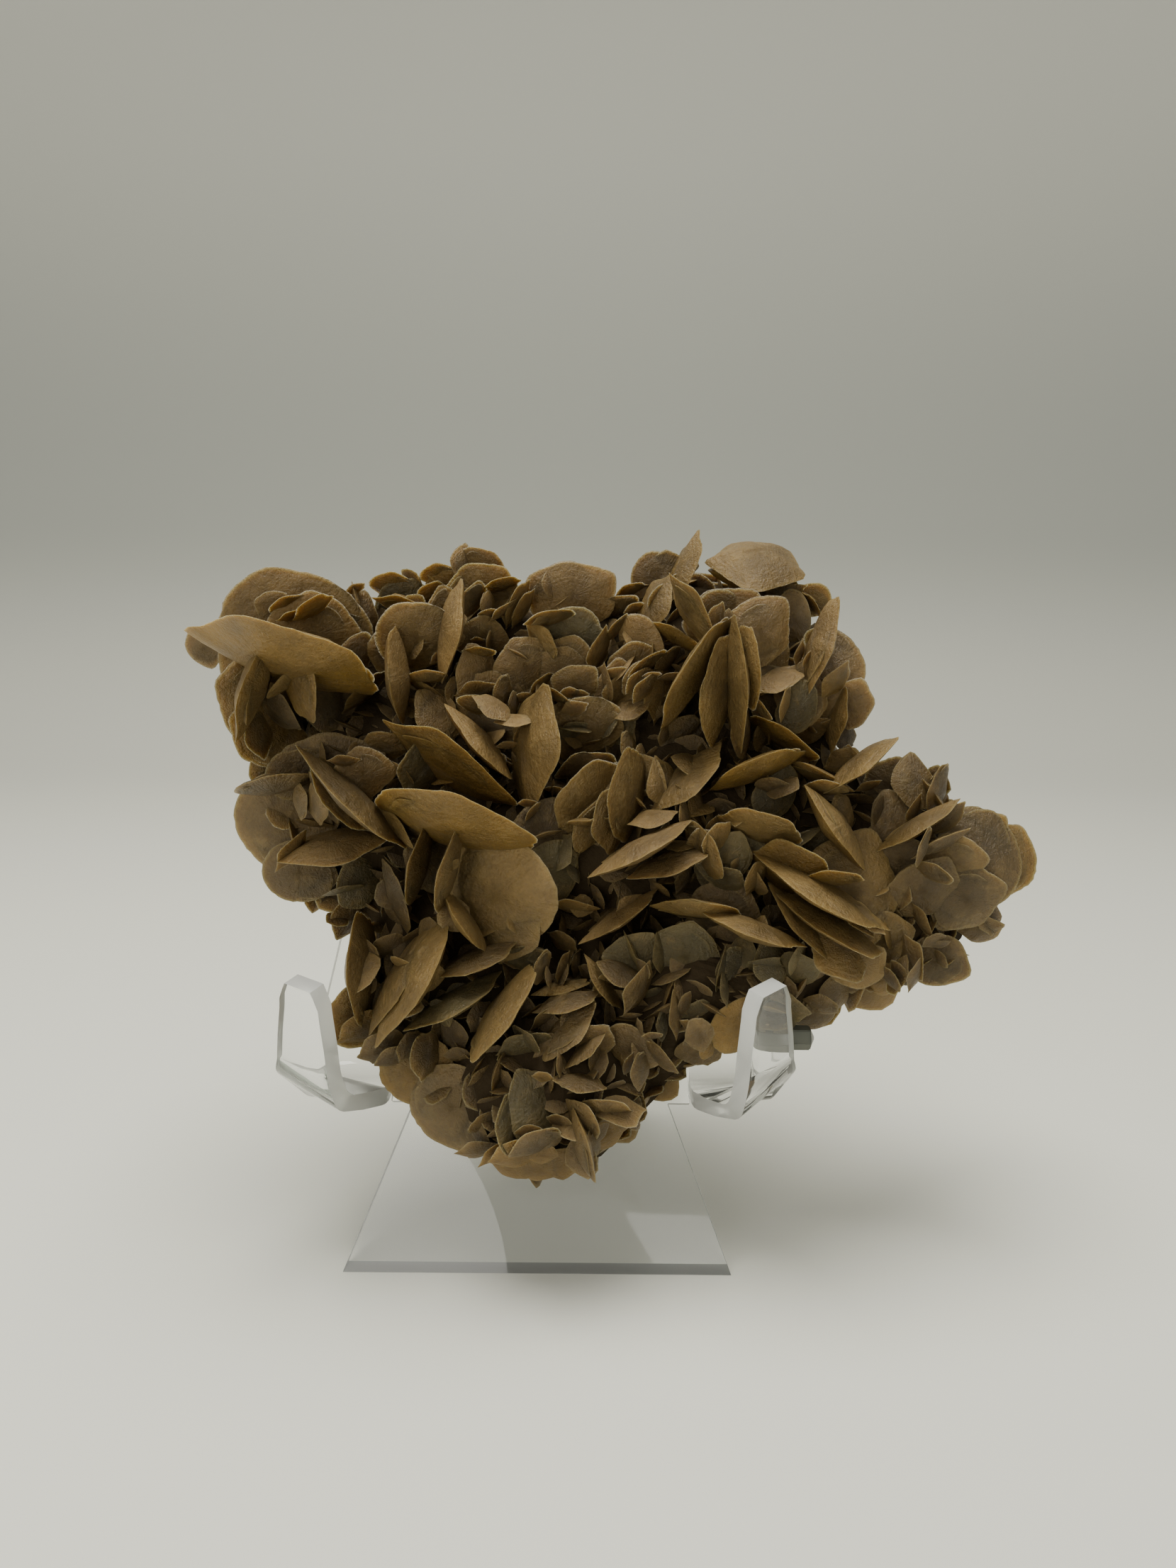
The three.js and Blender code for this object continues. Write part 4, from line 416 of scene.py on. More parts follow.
# The camera, from the middle of the front foot edge, in millimetres and degrees.
CAMERA_PLACE = Vector((7.7, -177.0, 113.2))
CAMERA_PITCH = 10.0          # below the horizon
CAMERA_ROLL = 0.5
CAMERA_LENS = 27.03          # for the 36 mm long side


# ------------------------------------------------------------------ settings


def linear(hex_colour):
    """Linear red, green and blue from an sRGB hex colour such as "8c7650"."""
    parts = [int(hex_colour[i : i + 2], 16) / 255 for i in (0, 2, 4)]
    return tuple(p / 12.92 if p <= 0.04045 else ((p + 0.055) / 1.055) ** 2.4 for p in parts)


def colour(name, description, default):
    """A colour setting, given as sRGB hex."""
    return bpy.props.FloatVectorProperty(
        name=name, description=description, subtype="COLOR", size=3, min=0, max=1,
        default=linear(default),
    )


def length(name, description, millimetres):
    """A length setting, given in millimetres."""
    return bpy.props.FloatProperty(
        name=name, description=description, subtype="DISTANCE", unit="LENGTH",
        min=0, precision=5, default=millimetres * MM,
    )


class SpecimenSettings(bpy.types.PropertyGroup):
    """Sizes and colours of the specimen, its easel and its setting."""

    tan: colour("Tan", "Most of the crystals", "745e35")
    amber: colour("Amber", "Clear honey-coloured crystals", "7a602f")
    olive: colour("Olive", "Dull grey-olive crystals", "5b5032")
    frosted: colour("Frosted", "Pale frosted crystals", "7a633c")
    # Painted shade: umber is a darker tone that stands for the shade low on the face and out at its
    # sides, where less light falls.
    umber: colour("Umber", "Darker crystals, low on the face and out at its sides", "604e2d")
    # Painted shade: this darker tone stands for the shade deep in the gaps, on the crystals there
    # and on the bed of small crystals on the face.
    gap_shade_brown: colour("Brown", "Crystals deep in the gaps", "604f31")
    honey: colour("Rim", "Light that comes through the thin rims", "85703e")
    frosting: colour("Frosting", "Pale bloom in patches on the faces", "92794a")
    # The matrix's own dull colour, kept dark partly as painted shade in the gaps between the
    # crystals.
    matrix: colour("Matrix", "Massive siderite between the crystals", "33291a")
    quartz: colour("Quartz", "The grey-green prism", "73756a")
    floor: colour("Floor", "The pale table", "efefe4")
    # Painted shade: this greyer colour is mixed in as a band up the rise behind the table, and
    # fades out again higher up.
    backdrop_shade: colour("Backdrop", "The greyer paper that rises behind the table", "c2c4bb")
    waviness: length("Waviness", "How far a crystal's surface wanders", 0.2)
    wave_length: length("Wave length", "Width of that wandering", 7)
    face_spacing: length("Face spacing", "Least distance of small crystals on the face", 2.7)
    ingrown_spacing: length("Ingrown spacing", "Least distance of small crystals between others",
                            3.8)
    back_spacing: length("Back spacing", "Least distance of crystals on the back", 3.9)
    edge_round: length("Edge rounding", "Rounding of the acrylic's edges", 0.45)
    light: bpy.props.FloatProperty(
        name="Light", description="Power of the overhead light", unit="POWER", default=4.1, min=0
    )


# ------------------------------------------------------------------ small helpers


def points_of(obj):
    """The places of a mesh object's vertices, one row each."""
    places = np.zeros(len(obj.data.vertices) * 3, np.float32)
    obj.data.vertices.foreach_get("co", places)
    return places.reshape(-1, 3).astype(float)


def easel_origin():
    """The middle of the easel's front foot edge, on the floor."""
    points = points_of(frame["nodes"][EASEL])
    on_floor = points[points[:, 2] < 0.01 * MM]
    halfway = (on_floor[:, 1].min() + on_floor[:, 1].max()) / 2
    foot = on_floor[on_floor[:, 1] < halfway]
    return Vector(((foot[:, 0].min() + foot[:, 0].max()) / 2, foot[:, 1].min(), 0))


def slab_frame():
    """The transform from the slab's own frame, in millimetres, to the scene, in metres."""
    across = Vector((1, 0, 0))
    up = Vector((0, math.sin(SLAB_LEAN), math.cos(SLAB_LEAN)))
    out = Vector((0, -math.cos(SLAB_LEAN), math.sin(SLAB_LEAN)))
    turn = Matrix((across, up, out)).transposed().to_4x4()
    return Matrix.Translation(easel_origin() + SLAB_CENTRE * MM) @ turn @ Matrix.Scale(MM, 4)


def slab_turn():
    """The turn alone from the slab's own frame to the scene."""
    return slab_frame().to_3x3().normalized()


def add_object(name, data):
    """A new object in the scene, at the origin."""
    made = bpy.data.objects.new(name, data)
    bpy.context.scene.collection.objects.link(made)
    return made


def new_mesh(name, places, faces):
    """A mesh from places and faces."""
    mesh = bpy.data.meshes.new(name)
    mesh.from_pydata(places, [], faces)
    return mesh


def add_attribute(mesh, name, kind, values):
    """A value for each vertex of a mesh."""
    attribute = mesh.attributes.new(name, kind, "POINT")
    key = "vector" if kind == "FLOAT_VECTOR" else "value"
    attribute.data.foreach_set(key, np.asarray(values).ravel())


def stands_for(obj, node):
    """A finished piece in place of its CAD node."""
    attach(obj, "root")
    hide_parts(node)


def waves(u, v, seed):
    """A smooth, repeatable height between about -1 and 1 over the plane."""
    total = 0.0
    for k, (cycles, share) in enumerate([(0.11, 0.5), (0.23, 0.3), (0.49, 0.2)]):
        heading = seed + 1.7 * k
        along = u * math.cos(heading) + v * math.sin(heading)
        total = total + share * np.sin(cycles * along * 2
                                       + 3 * np.sin(cycles * (v - u) + heading))
    return total


# ------------------------------------------------------------------ node trees


class Tree:
    """A node tree that is written down from left to right."""

    def __init__(self, tree):
        self.tree = tree
        self.tree.nodes.clear()

    def node(self, kind, values=None, **settings):
        """A node with its own settings, and its inputs set or linked by name or number."""
        made = self.tree.nodes.new(kind)
        for name, value in settings.items():
            setattr(made, name, value)
        for key, value in (values or {}).items():
            if isinstance(value, bpy.types.NodeSocket):
                self.tree.links.new(value, made.inputs[key])
            else:
                made.inputs[key].default_value = value
        return made

    def maths(self, operation, *values):
        """The result of a Math node."""
        return self.node("ShaderNodeMath", dict(enumerate(values)), operation=operation).outputs[0]

    def scaled(self, vector, factor):
        """A vector times a number."""
        return self.node("ShaderNodeVectorMath", {0: vector, "Scale": factor},
                         operation="SCALE").outputs[0]

    def noise(self, place, scale, detail, roughness=0.5, output="Fac"):
        """Noise over a place."""
        return self.node("ShaderNodeTexNoise", {"Vector": place, "Scale": scale, "Detail": detail,
                         "Roughness": roughness}).outputs[output]

    def smooth_step(self, value, start, end, low=0.0, high=1.0):
        """A number that runs from low to high while a value runs from start to end."""
        return self.node("ShaderNodeMapRange", {
            "Value": value, "From Min": start, "From Max": end, "To Min": low, "To Max": high},
            interpolation_type="SMOOTHSTEP").outputs[0]

    def mixed(self, share, first, second):
        """The second colour over the first by a share."""
        return self.node("ShaderNodeMix", {0: share, 6: first, 7: second},
                         data_type="RGBA").outputs[2]

    def attribute(self, name, output):
        """A vertex's own value, in a material."""
        return self.node("ShaderNodeAttribute", attribute_name=name).outputs[output]

    def named(self, name, kind):
        """A named attribute's value, in Geometry Nodes."""
        return self.node("GeometryNodeInputNamedAttribute", {"Name": name},
                         data_type=kind).outputs[0]

    def random(self, low, high, seed):
        """A random number for each point, in Geometry Nodes."""
        return self.node("FunctionNodeRandomValue", {2: low, 3: high, "Seed": seed},
                         data_type="FLOAT").outputs[1]


LENS_INPUTS = [("Geometry", "Geometry"), ("Lenses", "Collection"), ("Waviness", "Float"),
               ("Wave length", "Float"), ("Material", "Material")]
BED_INPUTS = LENS_INPUTS + [("Spacing", "Float"), ("Smallest", "Float"), ("Largest", "Float"),
                            ("Lean", "Float"), ("Sink", "Float"), ("Seed", "Int")]


def geometry_tree(name, inputs):
    """A new geometry tree and the sockets of its named inputs."""
    tree = Tree(bpy.data.node_groups.new(name, "GeometryNodeTree"))
    sockets = tree.tree.interface
    sockets.new_socket("Geometry", in_out="OUTPUT", socket_type="NodeSocketGeometry")
    for label, kind in inputs:
        sockets.new_socket(label, in_out="INPUT", socket_type="NodeSocket" + kind)
    return tree, tree.node("NodeGroupInput").outputs


def instances_of(tree, points, inputs, turn, extent, shape):
    """Lenses on points, made real, a little wavy, smooth and with their material."""
    lenses = tree.node("GeometryNodeCollectionInfo", {
        "Collection": inputs["Lenses"], "Separate Children": True, "Reset Children": True})
    placed = tree.node("GeometryNodeInstanceOnPoints", {
        "Points": points, "Instance": lenses.outputs[0], "Pick Instance": True,
        "Instance Index": shape, "Rotation": turn, "Scale": extent})
    real = tree.node("GeometryNodeRealizeInstances", {"Geometry": placed.outputs[0]})
    place = tree.node("GeometryNodeInputPosition").outputs[0]
    cycles = tree.maths("DIVIDE", 1.0, inputs["Wave length"])
    noise = tree.noise(place, cycles, 3.0, 0.6, output="Color")
    centred = tree.node("ShaderNodeVectorMath", {0: noise, 1: (0.5, 0.5, 0.5)},
                        operation="SUBTRACT").outputs[0]
    wander = tree.scaled(centred, tree.maths("MULTIPLY", inputs["Waviness"], 4.0))
    moved = tree.node("GeometryNodeSetPosition", {"Geometry": real.outputs[0], "Offset": wander})
    smooth = tree.node("GeometryNodeSetShadeSmooth", {"Geometry": moved.outputs[0]})
    painted = tree.node("GeometryNodeSetMaterial", {"Geometry": smooth.outputs[0],
                        "Material": inputs["Material"]})
    tree.node("NodeGroupOutput", {"Geometry": painted.outputs[0]})


def set_out_tree():
    """Puts a lens on each point, turned and sized by the point's own values."""
    tree, inputs = geometry_tree("Set out crystals", LENS_INPUTS)
    turn = tree.node("FunctionNodeEulerToRotation", {0: tree.named("facing", "FLOAT_VECTOR")})
    instances_of(tree, inputs["Geometry"], inputs, turn.outputs[0],
                 tree.named("extent", "FLOAT_VECTOR"), tree.named("shape", "INT"))
    return tree.tree


def bed_tree():
    """Grows small lenses on edge all over a surface, in bunches that lie nearly parallel."""
    tree, inputs = geometry_tree("Grow a bed of crystals", BED_INPUTS)
    spread = tree.node("GeometryNodeDistributePointsOnFaces", {
        "Mesh": inputs["Geometry"], "Distance Min": inputs["Spacing"], "Density Max": DENSEST,
        "Density Factor": tree.named("open", "FLOAT"), "Seed": inputs["Seed"]},
        distribute_method="POISSON")
    size = tree.random(inputs["Smallest"], inputs["Largest"], inputs["Seed"])
    size = tree.maths("MINIMUM", size, tree.named("room", "FLOAT"))
    fatness = tree.maths("MULTIPLY", size, tree.random(*BED_FATNESS, 11))
    extent = tree.node("ShaderNodeCombineXYZ", {0: size, 1: size, 2: fatness}).outputs[0]
    place = tree.node("GeometryNodeInputPosition").outputs[0]
    heading = tree.maths("MULTIPLY_ADD", tree.noise(place, BUNCH_SCALE, 1.0),
                         BUNCH_TURNS * math.tau, tree.random(-BUNCH_STRAY, BUNCH_STRAY, 12))
    lean = tree.random(tree.maths("MULTIPLY", inputs["Lean"], -1.0), inputs["Lean"], 13)
    turn = spread.outputs["Rotation"]
    # A lens is spun about the ground's normal, and then stood on edge and leant.
    for angles in ({2: heading}, {0: tree.maths("ADD", lean, math.pi / 2)}):
        angles = tree.node("ShaderNodeCombineXYZ", angles).outputs[0]
        by = tree.node("FunctionNodeEulerToRotation", {0: angles}).outputs[0]
        turn = tree.node("FunctionNodeRotateRotation", {"Rotation": turn, "Rotate By": by},
                         rotation_space="LOCAL").outputs[0]
    down = tree.scaled(spread.outputs["Normal"], tree.maths("MULTIPLY", inputs["Sink"], -1.0))
    points = tree.node("GeometryNodeSetPosition", {"Geometry": spread.outputs["Points"],
                       "Offset": down}).outputs[0]
    mix = tree.random(0.0, 1.0, 14)
    shade = tree.scaled(tree.named("tint", "FLOAT_VECTOR"),
                        tree.maths("MULTIPLY_ADD", mix, 0.5, 0.75))
    for name, kind, value in (("tint", "FLOAT_VECTOR", shade), ("seed", "FLOAT", mix)):
        points = tree.node("GeometryNodeStoreNamedAttribute", {"Geometry": points, "Name": name,
                           "Value": value}, data_type=kind, domain="POINT").outputs[0]
    shape = tree.node("FunctionNodeRandomValue", {4: ROUND_LENSES, 5: LENSES_PER_GRADE - 1,
                      "Seed": 15}, data_type="INT").outputs[2]
    instances_of(tree, points, inputs, turn, extent, shape)
    return tree.tree


def run_tree(tree, source, values, name):
    """The mesh that a geometry tree makes from a source object, as a new plain object."""
    modifier = source.modifiers.new("Grow", "NODES")
    modifier.node_group = tree
    for item in tree.interface.items_tree:
        if item.in_out == "INPUT" and item.name in values:
            modifier[item.identifier] = values[item.name]
    graph = bpy.context.evaluated_depsgraph_get()
    mesh = bpy.data.meshes.new_from_object(source.evaluated_get(graph),
                                           preserve_all_data_layers=True, depsgraph=graph)
    source.modifiers.remove(modifier)
    mesh.name = name
    return add_object(name, mesh)


def grow(tree, source, grade, share, values, name, settings):
    """Runs a geometry tree with one grade of lenses, and drops its source and the lenses."""
    lenses = lens_collection(grade)
    made = run_tree(tree, source, {
        "Lenses": lenses, "Waviness": settings.waviness * share,
        "Wave length": settings.wave_length * share,
        "Material": siderite_material(settings), **values}, name)
    bpy.data.objects.remove(source)
    for obj in list(lenses.objects):
        bpy.data.meshes.remove(obj.data)
    bpy.data.collections.remove(lenses)
    return made


# ------------------------------------------------------------------ the crystals


def lens_surface(spokes, rings, chance, point):
    """Places, places on the disc and faces of one closed lens.

    It has radius 1, half thickness 1 and a sharp, angular rim. point draws the rim out to a
    tip at each end of the long axis: 0 leaves it round and 1 makes it a pointed oval.
    """
    angle = np.arange(spokes) / spokes * math.tau
    rim = faceted_rim(angle, chance)
    across = chance.uniform(0.8, 1.0) * np.abs(np.sin(angle)) ** point
    swell = 0.1 * np.cos(3 * angle + chance.uniform(0, 6))
    places, discs = [], []
    for side in (1, -1):
        for ring in range(1, rings + (side > 0)):
            out = ring / rings
            x, y = out * rim * np.cos(angle), out * rim * np.sin(angle) * across
            height = (1 - out ** 2) * (1 + swell * out)
            places += list(zip(x, y, side * height))
            discs += list(zip(x, y, np.full(spokes, out)))
    places += [(0, 0, 1), (0, 0, -1)]
    discs += [(0, 0, 0), (0, 0, 0)]
    return np.array(places), np.array(discs), pillow_faces(spokes, rings)


def faceted_rim(angle, chance):
    """How far out a rim runs: blunt corners, nearly straight edges and a few chips."""
    sides = chance.integers(5, 9)
    headings = (np.arange(sides) + chance.uniform(-0.3, 0.3, sides)) / sides * math.tau
    reach = chance.uniform(0.88, 1.0, sides)
    edges = reach / np.clip(np.cos(angle[:, None] - headings), 0.2, 1)
    rim = (edges ** -10).sum(axis=1) ** (-1 / 10)
    chips = 1 - 0.03 * chance.uniform(0, 1, len(angle)) ** 4
    return rim / rim.mean() * chips


def pillow_faces(spokes, rings):
    """Faces of a closed pillow: rings of the front, rings of the back short of the rim, hubs."""
    front_hub = (2 * rings - 1) * spokes
    back_hub, back = front_hub + 1, rings * spokes
    faces = []
    for k in range(spokes):
        after = (k + 1) % spokes
        faces += [(front_hub, k, after), (back_hub, back + after, back + k)]
        for ring in range(rings - 1):
            low = ring * spokes
            high = low + spokes
            faces.append((low + k, high + k, high + after, low + after))
            low += back
            high = low + spokes if ring < rings - 2 else (rings - 1) * spokes
            faces.append((low + k, low + after, high + after, high + k))
    return faces


def lens_mesh(name, grade, pointed, seed):
    """A lens with the smaller ones that lie on its faces, their rims standing out as scales.

    Each vertex keeps its place on its own disc, so that growth lines can follow the rim.
    """
    spokes, rings, scales = LENS_GRADES[grade]
    chance = np.random.default_rng(seed)
    point = chance.uniform(*POINTEDNESS[grade]) if pointed else 0.0
    places, discs, faces = lens_surface(spokes, rings, chance, point)
    for _ in range(scales):
        size, off = chance.uniform(0.3, 0.65), chance.uniform(0.2, 0.55)
        heading, side = chance.uniform(0, math.tau), chance.choice((-1, 1))
        small, small_discs, small_faces = lens_surface(spokes // 2, rings // 2, chance, point * 0.7)
        tilt = Matrix.Rotation(chance.uniform(0.15, 0.6), 3,
                               (math.sin(heading), -math.cos(heading), 0))
        small = small * (size, size, size * 0.7) @ np.array(tilt).T
        small += (off * math.cos(heading), off * math.sin(heading) * 0.8, side * 0.45 * (1 - off))
        faces += [tuple(len(places) + corner for corner in face) for face in small_faces]
        places, discs = np.vstack([places, small]), np.vstack([discs, small_discs])
    mesh = new_mesh(name, places.tolist(), faces)
    add_attribute(mesh, "disc", "FLOAT_VECTOR", discs.astype(np.float32))
    ends = np.array(mesh.edge_keys)
    on_rim = (discs[ends[:, 0], 2] == 1) & (discs[ends[:, 1], 2] == 1)
    sharp = mesh.attributes.new("sharp_edge", "BOOLEAN", "EDGE")
    sharp.data.foreach_set("value", on_rim.tolist())
    return mesh


def lens_collection(grade):
    """The lens shapes of one grade, kept out of the scene."""
    collection = bpy.data.collections.new(f"Lenses {grade}")
    for k in range(LENSES_PER_GRADE):
        mesh = lens_mesh(f"lens_{grade}_{k}", grade, k >= ROUND_LENSES, seed=31 * k + 5)
        collection.objects.link(bpy.data.objects.new(mesh.name, mesh))
    return collection


def face_crystal(row):
    """A row's place and its lens's turn, in the slab's frame, and its size."""
    u, v, lift, radius, turn, tip, fatness, _ = row
    shown = Vector((u, v, 0))
    nearness = 1 - lift / SIGHT_POINT.z
    place = SIGHT_POINT.lerp(shown, nearness)
    back = (SIGHT_POINT - shown).normalized()
    right = Vector((0, 1, 0)).cross(back).normalized()
    up = back.cross(right)
    turn, tip = math.radians(turn), math.radians(tip)
    long_axis = right * math.cos(turn) + up * math.sin(turn)
    normal = back * math.cos(tip) + long_axis.cross(back) * math.sin(tip)
    axes = Matrix((long_axis, normal.cross(long_axis), normal)).transposed()
    size = radius * nearness
    return place, axes, (size, size, size * fatness)


def grade_of(radius):
    """The grade of lens for a crystal of this radius."""
    if radius >= BIG_CRYSTAL:
        return "big"
    return "middling" if radius >= MIDDLING_CRYSTAL else "small"


def crystal_points(rows, settings, seed):
    """An object with one vertex for each crystal, which holds the crystal's turn and size."""
    slab, slab_axes = slab_frame(), slab_turn()
    chance = np.random.default_rng(seed)
    values = {"facing": [], "extent": [], "tint": [], "seed": [], "shape": []}
    places = []
    for row in rows:
        place, axes, size = face_crystal(row)
        places.append(slab @ place)
        values["facing"].append(tuple((slab_axes @ axes).to_euler()))
        values["extent"].append([s * MM for s in size])
        tone = np.array(getattr(settings, TONES[row[7]]))
        values["tint"].append(tone * chance.uniform(*TINT_RANGE))
        values["seed"].append(chance.uniform())
        kinds = (ROUND_LENSES, LENSES_PER_GRADE) if abs(row[5]) > EDGE_ON else (0, ROUND_LENSES)
        values["shape"].append(chance.integers(*kinds))
    mesh = new_mesh("crystal_points", places, [])
    for name, kind in (("facing", "FLOAT_VECTOR"), ("extent", "FLOAT_VECTOR"),
                       ("tint", "FLOAT_VECTOR"), ("seed", "FLOAT")):
        add_attribute(mesh, name, kind, np.array(values[name], np.float32))
    add_attribute(mesh, "shape", "INT", np.array(values["shape"], np.int32))
    return add_object("crystal_points", mesh)


def blades(name, regions, settings):
    """The listed crystals of some regions, as one piece."""
    tree = set_out_tree()
    rows = [row for region in regions for row in region]
    parts = []
    for grade in LENS_GRADES:
        chosen = [row for row in rows if grade_of(row[3]) == grade]
        source = crystal_points(chosen, settings, seed=len(chosen))
        parts.append(grow(tree, source, grade, WAVE_SHARE[grade], {}, f"{name}_{grade}", settings))
    with bpy.context.temp_override(active_object=parts[0], selected_editable_objects=parts):
        bpy.ops.object.join()
    parts[0].name = name
    parts[0].data.name = name
    return parts[0]


# ------------------------------------------------------------------ the matrix and its beds


def outline_reach(angle):
    """The distance from the hub to the outline, for each of some angles."""
    corners = np.array(OUTLINE, float) - HUB
    headings = np.arctan2(corners[:, 1], corners[:, 0])
    order = np.argsort(headings)
    return np.array([ray_to(corners[order], headings[order], a) for a in angle])


def ray_to(corners, headings, angle):
    """Where a ray from the hub meets the outline, as a distance."""
    angle = (angle + math.pi) % math.tau - math.pi
    k = np.searchsorted(headings, angle) % len(corners)
    (x1, y1), (x2, y2) = corners[k - 1], corners[k]
    c, s = math.cos(angle), math.sin(angle)
    return (x1 * y2 - x2 * y1) / (c * (y2 - y1) - s * (x2 - x1))


def matrix_top(u, v):
    """Height of the matrix under the face."""
    height = np.full(u.shape, PLATE_FRONT)
    for lu, lv, lw, ru, rv, rw in MATRIX_LUMPS:
        inside = np.clip(1 - ((u - lu) / ru) ** 2 - ((v - lv) / rv) ** 2, 0, None)
        height = np.maximum(height, lw + rw * np.sqrt(inside))
    return height + 0.8 * waves(u, v, 0.4)


def matrix_mesh(name, spokes=150, rings=34):
    """The massive siderite as a rough, closed plate inside the outline."""
    angle = np.arange(spokes) / spokes * math.tau
    reach = outline_reach(angle) * PLATE_SHARE
    places = []
    for side in (1, -1):
        for ring in range(1, rings + (side > 0)):
            out = ring / rings
            u, v = HUB[0] + out * reach * np.cos(angle), HUB[1] + out * reach * np.sin(angle)
            far = matrix_top(u, v) if side > 0 else PLATE_BACK + 0.6 * waves(u, v, 2.2)
            w = PLATE_MIDDLE + (far - PLATE_MIDDLE) * math.sqrt(1 - out ** 10)
            places += list(zip(u, v, w))
    hub = np.array([HUB[0]]), np.array([HUB[1]])
    places += [(*HUB, float(matrix_top(*hub)[0])), (*HUB, PLATE_BACK)]
    slab = slab_frame()
    return new_mesh(name, [slab @ Vector(map(float, p)) for p in places],
                    pillow_faces(spokes, rings))


def mark_ground(source, openness):
    """Marks where a bed of crystals may grow on a mesh, and how big they may be there."""
    stand = frame["nodes"][EASEL].data
    near = BVHTree.FromPolygons([v.co for v in stand.vertices],
                                [p.vertices for p in stand.polygons])
    clear = [near.find_nearest(v.co)[3] - EASEL_GAP for v in source.data.vertices]
    add_attribute(source.data, "room", "FLOAT", np.clip(clear, LEAST_ROOM, None).astype(np.float32))
    add_attribute(source.data, "open", "FLOAT", openness.astype(np.float32))


def bed(name, source, settings, **sizes):
    """A bed of small crystals that grows on a marked mesh, which is then dropped."""
    return grow(bed_tree(), source, "small", BED_WAVE_SHARE, sizes, name, settings)


def matrix_bed(name, towards_face, settings, tint, **sizes):
    """A bed of small crystals on the face or on the back of the matrix."""
    source = add_object("bed_ground", matrix_mesh("bed_ground"))
    out = slab_turn().col[2]
    facing = np.array([vertex.normal.dot(out) for vertex in source.data.vertices])
    mark_ground(source, facing > 0.05 if towards_face else facing < 0.15)
    tints = np.tile(np.array(tint, np.float32), (len(facing), 1))
    add_attribute(source.data, "tint", "FLOAT_VECTOR", tints)
    return bed(name, source, settings, **sizes)


def ingrown_bed(name, crystals, settings, **sizes):
    """Small crystals that grew in between the large ones, low on their faces."""
    source = add_object("ingrown_ground", crystals.data.copy())
    turned = slab_frame().inverted()
    u, v, w = (points_of(source) @ np.array(turned.to_3x3()).T + turned.translation).T
    above = w - matrix_top(u, v)
    discs = np.zeros(len(w) * 3, np.float32)
    source.data.attributes["disc"].data.foreach_get("vector", discs)
    open_here = (above > 0) & (discs[2::3] < 0.7)
    mark_ground(source, np.where(open_here, np.clip(1.2 - above / INGROWN_DEPTH, 0, 1), 0))
    return bed(name, source, settings, **sizes)


# ------------------------------------------------------------------ materials


def material(name, finish, settings):
    """The material of this name, with its nodes written the first time it is wanted."""
    made = bpy.data.materials.get(name)
    if made is None:
        made = bpy.data.materials.new(name)
        made.use_nodes = True
        tree = Tree(made.node_tree)
        tree.node("ShaderNodeOutputMaterial", finish(tree, settings))
    return made


def siderite_material(settings):
    """The material of all the siderite crystals."""
    return material("waxy_siderite", siderite, settings)


def principled(tree, values):
    """A plain surface from its own sockets."""
    return {"Surface": tree.node("ShaderNodeBsdfPrincipled", values).outputs[0]}


def siderite(tree, settings):
    """Siderite, iron carbonate: waxy, with fine growth lines, and thin rims whose honey glow of
    light coming through them is painted in.
    """
    place = tree.node("ShaderNodeTexCoord").outputs["Object"]
    parts = tree.node("ShaderNodeSeparateXYZ", {0: tree.attribute("disc", "Vector")}).outputs
    out = parts[2]
    spread = tree.maths("MAXIMUM", out, 0.08)
    round_x = tree.maths("DIVIDE", parts[0], spread)
    round_y = tree.maths("DIVIDE", parts[1], spread)
    shift = tree.maths("MULTIPLY", tree.attribute("seed", "Fac"), 37.0)

    def streaks(along, around):
        """Noise drawn out along the rim or from the centre to the rim."""
        where = tree.node("ShaderNodeCombineXYZ", {
            0: tree.maths("MULTIPLY_ADD", out, along, shift),
            1: tree.maths("MULTIPLY", round_x, around),
            2: tree.maths("MULTIPLY", round_y, around)}).outputs[0]
        return tree.noise(where, 1.6, 4.0, 0.6)

    growth_lines = streaks(9.0, 0.7)
    fibres = streaks(1.2, 7.0)
    mottle = tree.noise(place, 110.0, 5.0, 0.6)
    grain = tree.noise(place, 1500.0, 4.0, 0.65)
    patches = tree.noise(place, 260.0, 6.0, 0.7)

    # Paler outwards, as painted light through the thinning rim, and darker in each growth line,
    # grain and blotch.
    shade = tree.maths("MULTIPLY_ADD", mottle, 1.5, 0.2)
    outwards = tree.maths("POWER", out, 2.0)
    for value, strength, least in ((growth_lines, 0.3, 0.86), (grain, 0.6, 0.7),
                                   (outwards, 0.3, 0.88)):
        shade = tree.maths("MULTIPLY", shade, tree.maths("MULTIPLY_ADD", value, strength, least))
    body = tree.scaled(tree.attribute("tint", "Vector"), shade)
    frost = tree.smooth_step(patches, 0.5, 0.72, high=0.4)
    body = tree.mixed(frost, body, (*settings.frosting, 1))
    # Painted light: the rim colour mixed in at the very edge stands for light that comes through
    # the thin rims.
    rim = tree.smooth_step(out, 0.9, 1.0, high=0.35)
    body = tree.mixed(rim, body, (*settings.honey, 1))

    height = tree.maths("MULTIPLY", fibres, 0.22)
    for value, strength in ((growth_lines, 0.18), (grain, 0.3), (patches, 0.7)):
        height = tree.maths("MULTIPLY_ADD", value, strength, height)
    bump = tree.node("ShaderNodeBump", {"Strength": 0.9, "Distance": 1.2 * MM, "Height": height})
    return principled(tree, {
        "Base Color": body, "Roughness": tree.maths("MULTIPLY_ADD", grain, 0.35, 0.26),
        "IOR": 1.6, "Specular IOR Level": 0.34, "Normal": bump.outputs[0],
        "Subsurface Weight": 0.35, "Subsurface Radius": (1.0, 0.78, 0.5),
        "Subsurface Scale": 2.5 * MM})


